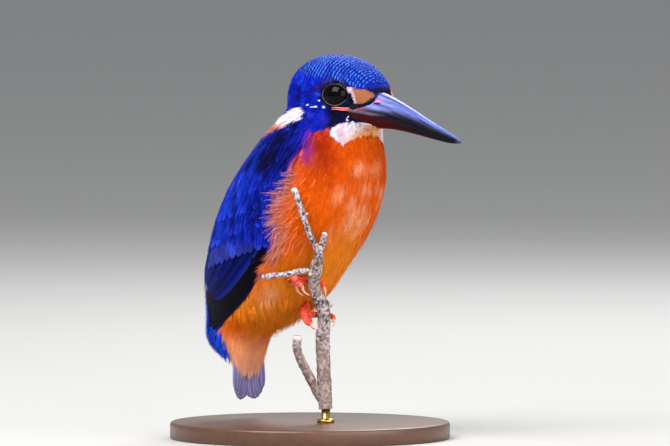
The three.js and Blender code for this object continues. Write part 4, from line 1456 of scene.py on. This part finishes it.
def tail_feather(side, root_x, tip_x, tip_z, layer):
    """A thin closed vane, slate lilac beneath and blue above."""
    u = np.concatenate([np.linspace(0, 0.86, 14), (0.9, 0.94, 0.965, 0.985, 0.995, 1.0)])[:, None]
    v = np.linspace(-1, 1, 13)
    half = TAIL_VANE * np.minimum(1, 0.35 + 1.3 * u) * np.sqrt(np.maximum(1 - u ** 14, 0.001))
    front = stacked(side * (root_x + (tip_x - root_x) * u ** 0.9) + half * v,
                    TAIL_Y + layer + 0.4 * (1 - u) + 0.25 * v ** 2 - TAIL_THICKNESS / 2,
                    TAIL_TOP + (tip_z - TAIL_TOP) * u - 0.35 * np.abs(v) * u ** 6)
    behind = front[:, ::-1] + (0, TAIL_THICKNESS, 0)
    streak = noise(stacked(v * 4 + tip_x * 7, u * 3, side), (0.5, 0.9, 1.0))
    shaft = step(0.1, 0.03, np.abs(v))
    under = painted(TAIL_UNDER, (TAIL_UNDER_DARK, step(0.35, 0.8, streak)),
                    (TAIL_EDGE, step(0.78, 0.98, np.abs(v)) * 0.8), (TAIL_EDGE, shaft * 0.5))
    over = painted(TAIL_OVER, (DEEP_BLUE, step(0.4, 0.9, streak) * 0.7), (INK, shaft * 0.6))
    return ring_solid(np.concatenate([front, behind], 1),
                      np.concatenate([under, over[:, ::-1]], 1))


def tail_coat():
    """Twelve tail feathers."""
    parts = [tail_feather(side, *feather) for side in (RIGHT, LEFT) for feather in TAIL_FEATHERS]
    obj = coloured_piece("tail_feathers", parts, TAIL, ("tail",))
    points = np.concatenate([p for p, _, _ in parts])
    starts = np.repeat([p[0] for p, _, _ in parts], [len(p) for p, _, _ in parts], 0)
    local = (points - starts)[:, (0, 2)] / (2 * TAIL_VANE, TAIL_TOP - TAIL_TIP)
    set_uv(obj, "OFBake", unwrap(starts) + local * BAKE_PATCH)


# ------------------------------------------------------------------ eyes

EYE_COLOUR = linear((2, 1, 2))
LID_DARK = linear((12, 8, 14))
LID_PALE = linear((112, 98, 108))
LID_STEPS = 7
LID_TURNS = 72
LID_RIM = 2                        # the step of the lid that is pale
LID_THICKNESS = 0.5
LID_LENGTH, LID_HEIGHT = 1.2, 1.22         # its outer edge, as parts of the opening
LID_LIFT, LID_SWELL = 0.12, 0.26           # over the skin, and of its middle
BALL_SIDES, BALL_RINGS = 64, 40


def make_eyes():
    for side, name in SIDES:
        centre, axes = EYE_MIDDLE * (side, 1, 1), eye_axes(side)
        ball = ellipsoid(centre, EYE_RADII, axes, BALL_SIDES, BALL_RINGS)
        coloured_piece("eye_" + name, [(*ball, EYE_COLOUR)], EYEBALL, ("eye_" + name,))
        turn = np.linspace(0, 2 * math.pi, LID_TURNS, endpoint=False)
        cosine, sine = np.cos(turn), np.sin(turn)
        ahead = cosine * EYE_OPENING[0] * (1 + 0.05 * np.abs(cosine) ** 6)
        up = sine * EYE_OPENING[1]
        out = EYE_RADII[2] * np.sqrt(1 - (ahead / EYE_RADII[0]) ** 2 - (up / EYE_RADII[1]) ** 2)
        inner = centre + np.stack([ahead, up, out], 1) @ axes
        outer, normals = guide.nearest(
            centre + np.stack([ahead * LID_LENGTH, up * LID_HEIGHT, out], 1) @ axes)
        outer = outer + normals * LID_LIFT
        front = np.array([
            inner + (outer - inner) * t
            + LID_SWELL * math.sin(math.pi * t ** 0.7) * (axes[2] * (1 - t) + normals * t)
            for t in np.arange(LID_STEPS) / (LID_STEPS - 1)])
        loop = np.concatenate([front, front[::-1] - axes[2] * LID_THICKNESS]).transpose(1, 0, 2)
        points = loop.reshape(-1, 3)
        index = np.arange(len(points)).reshape(loop.shape[:2])
        faces = outward(points, bands(index, np.roll(index, -1, 0)))
        low = np.maximum(0.25 + 0.75 * step(0.3, -0.3, sine), step(-0.75, -0.95, cosine))
        level = np.concatenate([np.arange(LID_STEPS), np.arange(LID_STEPS)[::-1]])
        colours = mix(LID_DARK, LID_PALE, low[:, None] * (level == LID_RIM) * 0.9)
        coloured_piece("eyelids_" + name, [(points, faces, colours.reshape(-1, 3))], LID)


# ------------------------------------------------------------------ bill

BILL_RINGS = 110
BILL_ARC = 33
BILL_FLOOR = 7                     # points across the inner face of each half
BILL_SEAM = 0.07
HORN_BLACK = linear((9, 9, 24))
# the upper half's painted sheen of the sky and painted highlight on its ridge
SHEEN_LAVENDER = linear((126, 138, 214))
SHEEN_BLUE = linear((106, 122, 206))
HORN_NIGHT = linear((22, 26, 66))
RIDGE_HIGHLIGHT = linear((150, 158, 226))
HORN_GREY = linear((84, 90, 132))
HORN_RED = linear((74, 10, 6))
HORN_BROWN = linear((104, 44, 30))
GAPE_RED = linear((150, 66, 70))
NOSTRIL_PINK = linear((206, 120, 176))
GAPE_PINK = linear((236, 104, 98))
GAPE_GREY = linear((150, 126, 156))
NOSTRIL_RED = linear((150, 16, 50))


def bill_half(upper):
    """One half of the bill with its colours; the upper half has a painted sheen and a painted
    highlight along the ridge.
    """
    y = -np.linspace(BILL_ROOT, BILL_TIP, BILL_RINGS)[:, None]
    ridge, meet, keel, half = bill_at(y)
    t = (y - y[0]) / (y[-1] - y[0])
    turn = np.linspace(0, math.pi, BILL_ARC)
    s, c = np.sin(turn), np.cos(turn)
    if upper:
        side = half * c * (1 - 0.2 * s)
        groove = 0.22 * bell(s, 0.6, 0.1) * step(0.16, 0.24, t) * step(0.62, 0.3, t)
        side = side * (1 - groove / np.maximum(np.abs(side), 0.4))
        z = meet + BILL_SEAM + (ridge - meet - BILL_SEAM) * s ** 1.12
    else:
        side = half * c * (1 - 0.14 * s) * 0.985
        z = meet - BILL_SEAM - (meet - BILL_SEAM - keel) * s ** 1.05
    back = np.linspace(-1, 1, BILL_FLOOR + 2)[1:-1]
    rings = np.concatenate([stacked(side, y, z), stacked(half * back * 0.98, y, z[:, :1])], 1)
    s = np.append(s, np.zeros(BILL_FLOOR))
    streak = noise(stacked(s, t, 3), (0.035, 0.22, 1.0))
    if upper:
        low = 0.3 + 0.26 * step(0.15, 0.8, t)
        # painted sheen: lavender and blue reflection of the sky on the upper half's side, darker
        # towards the tip and the cutting edge and in streaks
        pale = painted(
            SHEEN_LAVENDER,
            (SHEEN_BLUE, step(0.2, 0.6, t)),
            (HORN_NIGHT, np.clip(step(0.97, 0.5, s) * step(0.15, 0.5, t) * 0.8
                                 + step(0.45, 0.75, streak) * 0.55, 0, 1)))
        colour = painted(
            HORN_BLACK,
            (pale, step(low - 0.16, low + 0.16, s)),
            # a dark line just under the ridge, between the painted sheen and the painted
            # highlight
            (HORN_BLACK, bell(s, 0.93, 0.035) * bell(t, 0.34, 0.3) * 0.95),
            # painted highlight along the ridge
            (RIDGE_HIGHLIGHT, step(0.965, 0.985, s) * step(0.9, 0.3, t) * 0.9),
            (GAPE_GREY * 0.7, bell(s, 0.26, 0.1) * step(0.14, 0.04, t) * 0.6),
            (GAPE_RED, bell(s, 0.17, 0.09) * bell(t, 0.06, 0.06) * 0.8),
            (GAPE_GREY, step(0.1, 0.03, s) * step(0.32, 0.2, t) * 0.8),
            (NOSTRIL_PINK, bell(y, -32.2, 1.2) * bell(rings[..., 2], 102.2, 0.45) * 0.85))
    else:
        colour = painted(
            HORN_BLACK,
            (HORN_RED, bell(s, 0.55, 0.35) * step(0.6, 0.1, t) * (0.6 + 0.5 * streak)),
            (HORN_BROWN, step(0.95, 1.0, s) * step(0.9, 0.6, t) * 0.6),
            (GAPE_GREY, step(0.12, 0.03, s) * step(0.26, 0.15, t) * 0.5))
    colour = mix(colour, HORN_GREY, step(0.94, 1.0, t) * 0.7)
    return ring_solid(rings, colour * (0.8 + 0.4 * noise(rings, (0.5, 3.0, 0.5))[..., None]))


# the two folds of skin behind the gape: corners on the left side, then lift and radius of each
GAPE_PATH = ((10.9, -19.9, 99.7), (10.3, -21.4, 99.8), (9.6, -23.2, 99.65), (8.9, -25.0, 99.45),
             (7.6, -27.4, 99.15))
GAPE_FOLDS = ((0.42, 0.22), (-0.1, 0.18))
GAPE_ON_SKIN = 4                   # corners of the path that lie on the skin
GAPE_LIFT = 0.34
GAPE_TAPER = np.array([0.4, 0.85, 1, 1, 0.9])
NOSTRIL_PLACE = np.array([4.1, -32.5, 101.65])
NOSTRIL_RADII = (1.45, 0.24, 0.3)


def make_bill():
    coloured_piece("bill_upper_horn", [bill_half(True)], HORN, ("bill_upper",))
    coloured_piece("bill_lower_horn", [bill_half(False)], HORN, ("bill_lower",))
    nostrils, flanges = [], []
    for side in (RIGHT, LEFT):
        along = unit(np.array([-side * 0.09, -0.98, 0.03]))
        out = tangent(np.array([side * 0.85, 0, 0.5]), along)
        axes = np.array([along, np.cross(out, along), out])
        slit = ellipsoid(NOSTRIL_PLACE * (side, 1, 1), NOSTRIL_RADII, axes, 24, 14)
        nostrils.append((*slit, NOSTRIL_RED * 0.7))
        for lift, radius in GAPE_FOLDS:
            path = np.array(GAPE_PATH) * (side, 1, 1)
            path[:GAPE_ON_SKIN], normals = guide.nearest(path[:GAPE_ON_SKIN])
            path[:GAPE_ON_SKIN] += normals * GAPE_LIFT
            path[:, 2] += lift
            rings, part = tube(path, radius * GAPE_TAPER, 12, 0.25)
            flanges.append(ring_solid(rings, mix(GAPE_PINK, GAPE_GREY,
                                                 step(0.55, 0.9, part))[:, None]))
    coloured_piece("nostrils", nostrils, HORN)
    coloured_piece("gape", flanges, SCALES)


# ------------------------------------------------------------------ perch

# corners of the stem and the twigs as (x, y, z, radius)
STEM = np.array((
    (-0.9, -7.6, 9.2, 2.05), (-1.2, -7.3, 16.2, 2.1), (-1.4, -7.1, 23.1, 2.05),
    (-1.6, -7.1, 30.7, 2.15), (-2.0, -7.9, 35.2, 1.9), (-3.4, -8.9, 40.0, 2.0),
    (-6.4, -8.8, 44.4, 1.75), (-8.2, -9.9, 48.0, 1.75), (-9.6, -12.0, 51.4, 2.0),
    (-10.4, -14.0, 54.8, 1.5), (-10.8, -14.8, 56.4, 1.1)))
PERCH = {
    "stem": STEM,
    "twig_upper": ((-10.4, -14.2, 53.4, 1.0), (-11.2, -14.6, 57.2, 1.0),
                   (-12.6, -14.4, 59.4, 0.95), (-14.9, -14.3, 63.4, 0.9),
                   (-17.1, -14.3, 67.9, 0.9), (-19.1, -14.2, 72.4, 0.9),
                   (-20.6, -13.8, 76.4, 1.05)),
    "stub_upper": ((-10.2, -13.8, 53.6, 0.9), (-11.0, -16.4, 59.9, 0.85),
                   (-11.3, -17.7, 62.9, 0.95)),
    "twig_side": ((-8.6, -11.9, 50.7, 0.9), (-12.0, -9.8, 51.1, 0.85), (-15.0, -6.8, 50.3, 0.8),
                  (-18.1, -3.4, 49.7, 0.8), (-20.5, -0.2, 49.2, 0.85)),
    "stub_lower": ((-1.4, -6.9, 11.0, 1.25), (-3.0, -6.0, 14.2, 1.35), (-5.7, -5.7, 18.6, 1.35),
                   (-8.3, -5.1, 23.2, 1.35), (-10.1, -4.8, 27.0, 1.3), (-10.7, -5.4, 31.2, 1.35)),
}
KNOBS = ((-2.0, -10.4, 40.6, 0.95), (-9.2, -13.9, 53.6, 0.7), (-10.6, -11.2, 50.2, 0.9),
         (-3.1, -7.0, 33.4, 0.6), (-16.6, -15.3, 68.5, 0.45), (-0.2, -9.2, 35.6, 0.6))
BARK_SIDES, BARK_PITCH = 28, 0.28
BARK_PALE = linear((176, 160, 166))
BARK_GREY = linear((138, 120, 118))
BARK_DARK = linear((52, 42, 46))
LICHEN = linear((128, 120, 66))
WOOD_CUT = linear((226, 216, 212))


def bark_relief(points, at, turn):
    return 0.34 * (noise(points, 1.1) - 0.5 + 0.6 * (noise(points, 0.45) - 0.5))


def bark_colour(rings):
    fleck = noise(rings + 20, (0.42, 0.42, 0.6))
    low = step(34, 24, rings[..., 2])
    green = (bell(rings[..., 2], 50.5, 5.0) * step(0.42, 0.66, noise(rings + 5, 1.3))
             * step(-13, -11, rings[..., 0]))
    return painted(
        BARK_PALE,
        (BARK_GREY, step(0.3, 0.7, noise(rings + 60, 2.6))),
        (BARK_GREY * (1.05, 0.95, 0.8), low * 0.7),
        (BARK_DARK, step(0.56, 0.7, fleck) * (0.9 - 0.55 * low)),
        (WOOD_CUT, step(0.4, 0.28, fleck) * (0.6 - 0.3 * low)),
        (LICHEN, green * 0.8))


def make_perch():
    for name, rows in PERCH.items():
        rows = np.array(rows)
        rings, part = tube(rows[:, :3], rows[:, 3], BARK_SIDES, BARK_PITCH,
                           name not in ("stem", "stub_lower"), bark_relief)
        cut = step(0.94, 0.985, part)[:, None] * 0.8 * (name != "stem")
        solids = [ring_solid(rings, mix(bark_colour(rings), WOOD_CUT, cut))]
        for x, y, z, radius in KNOBS if name == "stem" else ():
            points, faces = ellipsoid((x, y, z), (radius, radius, radius * 0.9),
                                      sides=20, rings=12)
            points = points + (noise(points, 0.7)[:, None] - 0.5) * 0.3
            solids.append((points, faces, mix(bark_colour(points), WOOD_CUT, 0.5)))
        coloured_piece("bark_" + name, solids, BARK, ("perch_" + name,))


# ------------------------------------------------------------------ feet

FOOT_RED = linear((238, 70, 44))
# the toes' dark and pale: painted shade in the creases and painted highlights
FOOT_CREASE_SHADE = linear((150, 22, 16))
FOOT_HIGHLIGHT = linear((246, 136, 112))
CLAW_COLOUR = linear((236, 170, 160))
TOE_ROOT, TOE_END, CLAW_ROOT, CLAW_END = 1.0, 0.75, 0.5, 0.1
TOE_SIDES, CLAW_SIDES = 20, 14
TOE_PITCH, CLAW_PITCH = 0.17, 0.12         # distance between the rings of each
SCUTE = 0.85                       # length of a scale
# each foot: shank corners, then where the shank meets the toes and its radii, then toes and
# claws, as (height, angle round the stem, out from its axis)
FEET = {
    "foot_right": dict(
        leg=((-9.0, 1.6, 51.0), (-10.6, -3.4, 48.8)), ankle=(47.7, 136, 4.1),
        thick=(1.1, 1.15, 1.45),
        toes=(((47.7, 137, 4.2), (47.9, 105, 3.5), (48.0, 55, 3.0), (47.2, 5, 3.0),
               (45.8, -33, 2.9)),
              ((47.8, 141, 5.0), (47.0, 150, 4.4), (46.2, 160, 3.8)),
              ((48.0, 130, 6.0), (47.2, 131, 5.7), (46.4, 134, 5.2))),
        claws=(((46.0, -30, 2.9), (44.4, -40, 3.0), (43.2, -48, 2.45)),
               ((46.4, 158, 3.9), (44.7, 165, 3.9), (43.5, 178, 2.9)),
               ((46.6, 133, 5.3), (44.7, 137, 5.2), (43.3, 147, 4.2)))),
    "foot_left": dict(
        leg=((3.0, 5.2, 41.6), (-0.8, 1.2, 39.6)), ankle=(36.9, 137, 5.4),
        thick=(1.2, 1.35, 1.6),
        toes=(((37.4, 136, 4.8), (37.4, 100, 3.4), (37.4, 50, 3.2), (37.0, 0, 3.2),
               (36.0, -38, 3.1)),
              ((37.0, 138, 5.6), (35.6, 148, 5.4), (34.5, 164, 4.2)),
              ((36.8, 132, 4.9), (35.8, 134, 4.4), (35.0, 142, 3.7))),
        claws=(((36.2, -34, 3.1), (34.8, -48, 3.15), (33.8, -60, 2.7)),
               ((34.7, 161, 4.4), (33.7, 176, 3.8), (33.3, 194, 2.85)),
               ((35.2, 140, 3.8), (33.9, 150, 3.7), (33.0, 164, 3.0)))),
}


def beside_stem(height, angle, out):
    x, y = smooth(np.array(float(height)), STEM[:, 2], STEM[:, :2])
    turn = math.radians(angle)
    return x + out * math.cos(turn), y + out * math.sin(turn), height


def scutes(points, at, turn):
    return 0.07 * np.abs(np.sin(at * math.pi / SCUTE)) * (0.6 + 0.4 * np.cos(turn)) - 0.03


def make_feet():
    for name, foot in FEET.items():
        tubes = [([*foot["leg"], beside_stem(*foot["ankle"])], foot["thick"])]
        tubes += [([beside_stem(*p) for p in toe], np.linspace(TOE_ROOT, TOE_END, len(toe)))
                  for toe in foot["toes"]]
        skins, claws = [], []
        for path, radii in tubes:
            rings, _ = tube(path, radii, TOE_SIDES, TOE_PITCH, True, scutes)
            crease = np.abs(np.sin(np.arange(len(rings)) * TOE_PITCH * math.pi / SCUTE))
            skins.append(ring_solid(rings, painted(
                # painted shade in the creases between the scales, and paler patches by noise as
                # painted highlights
                FOOT_RED, (FOOT_CREASE_SHADE, step(0.35, 0.0, crease)[:, None] * 0.75),
                (FOOT_HIGHLIGHT, step(0.55, 0.85, noise(rings, 1.0)) * 0.6))))
        for claw in foot["claws"]:
            rings, _ = tube([beside_stem(*p) for p in claw],
                            np.linspace(CLAW_ROOT, CLAW_END, len(claw)),
                            CLAW_SIDES, CLAW_PITCH)
            claws.append((*closed_rings(rings), CLAW_COLOUR))
        coloured_piece(name + "_skin", skins, SCALES, (name,))
        coloured_piece(name + "_claws", claws, HORN)


# ------------------------------------------------------------------ stand and stage

BASE_RADIUS, BASE_HEIGHT, BASE_EDGE = 42.0, 5.0, 0.9
ROD_PLACE, ROD_RADIUS, ROD_TOP = (-0.9, -7.6), 1.3, 9.2
COLLAR_RADIUS, COLLAR_HEIGHT = 2.6, 1.2
WALNUT_COLOUR = linear((92, 58, 38))
BRASS_COLOUR = linear((190, 150, 84))
FLOOR_REACH = 30000
FLOOR_PAINT = (0.5, 0.5, 0.49, 1)
SKY_COLOUR, SKY_STRENGTH = (0.94, 0.96, 1.0, 1), 0.42


def lathe(profile, centre, sides=160):
    """A turned solid from (radius, height) corners, lowest first."""
    turn = np.linspace(0, 2 * math.pi, sides, endpoint=False)
    r, z = np.array(profile, float).T[..., None]
    return closed_rings(stacked(centre[0] + r * np.cos(turn), centre[1] + r * np.sin(turn), z))


def make_stand():
    soft = [(BASE_RADIUS - BASE_EDGE + BASE_EDGE * math.sin(a),
             BASE_HEIGHT - BASE_EDGE + BASE_EDGE * math.cos(a))
            for a in np.linspace(math.pi / 2, 0, 7)]
    disc = lathe([(BASE_RADIUS - 0.4, 0), (BASE_RADIUS, 0.4), *soft, (4, BASE_HEIGHT)], (0, 0))
    coloured_piece("base", [(*disc, WALNUT_COLOUR)], WALNUT, ("stand_base",))
    top = BASE_HEIGHT + COLLAR_HEIGHT
    rod = lathe([(COLLAR_RADIUS, BASE_HEIGHT - 0.05), (COLLAR_RADIUS, top - 0.3),
                 (COLLAR_RADIUS - 0.3, top), (ROD_RADIUS + 0.25, top),
                 (ROD_RADIUS, top + 0.2), (ROD_RADIUS, ROD_TOP)], ROD_PLACE, 72)
    coloured_piece("rod", [(*rod, BRASS_COLOUR)], BRASS, ("stand_rod",))


def make_stage():
    corners = FLOOR_REACH * np.array([(-1, -1, 0), (1, -1, 0), (1, 1, 0), (-1, 1, 0)])
    floor = mesh_object("floor", corners, [np.array([[0, 1, 2, 3]])], smooth_shading=False)
    floor.data.materials.append(Nodes("floor", Roughness=0.9, Base_Color=FLOOR_PAINT,
                                      Specular_IOR_Level=0.1).material)
    world = bpy.data.worlds.new("world")
    world.use_nodes = True
    background = world.node_tree.nodes["Background"]
    background.inputs["Color"].default_value = SKY_COLOUR
    background.inputs["Strength"].default_value = SKY_STRENGTH
    bpy.context.scene.world = world


# ------------------------------------------------------------------ build

face_coat()
cheek_coat()
crown_coat()
throat_coat()
front_coat("coat_breast_upper", 80, 97, 0.85, 4.8)
front_coat("coat_breast", 64, 80, 0.9, 5.4)
front_coat("coat_belly", 46, 64, 0.92, 5.4, 1.1)
front_coat("coat_vent", 33, 46, 0.85, 5.2, 1.3)
vent_coat()
undertail_coat()
back_coat()
barb_coat()
nape_coat()
rump_coat()
fringe_coat()
fleck_coat()
wing_coats()
tail_coat()
make_eyes()
make_bill()
make_perch()
make_feet()
make_stand()

skin = mesh_object("skin", skin_points, [skin_quads])
set_colours(skin, np.clip(markings(skin_points) * 0.8, 0, 1))
set_uv(skin, "OFBake", unwrap(skin_points), wrap=True)
skin.data.materials.append(SKIN)
finish_piece(skin, FLESH)
print(f"coat {sum(coat_triangles)} triangles, skin {2 * len(skin_quads)}")

make_stage()
make_lamp("key", -84, 48, 0.9, 0.6, 12.0, (1.0, 0.98, 0.96))
make_lamp("front", 0, 4, 1.6, 2.2, 54.0)
make_lamp("rim", 120, 40, 0.9, 0.4, 5.0)
bpy.context.scene.view_settings.view_transform = "Standard"
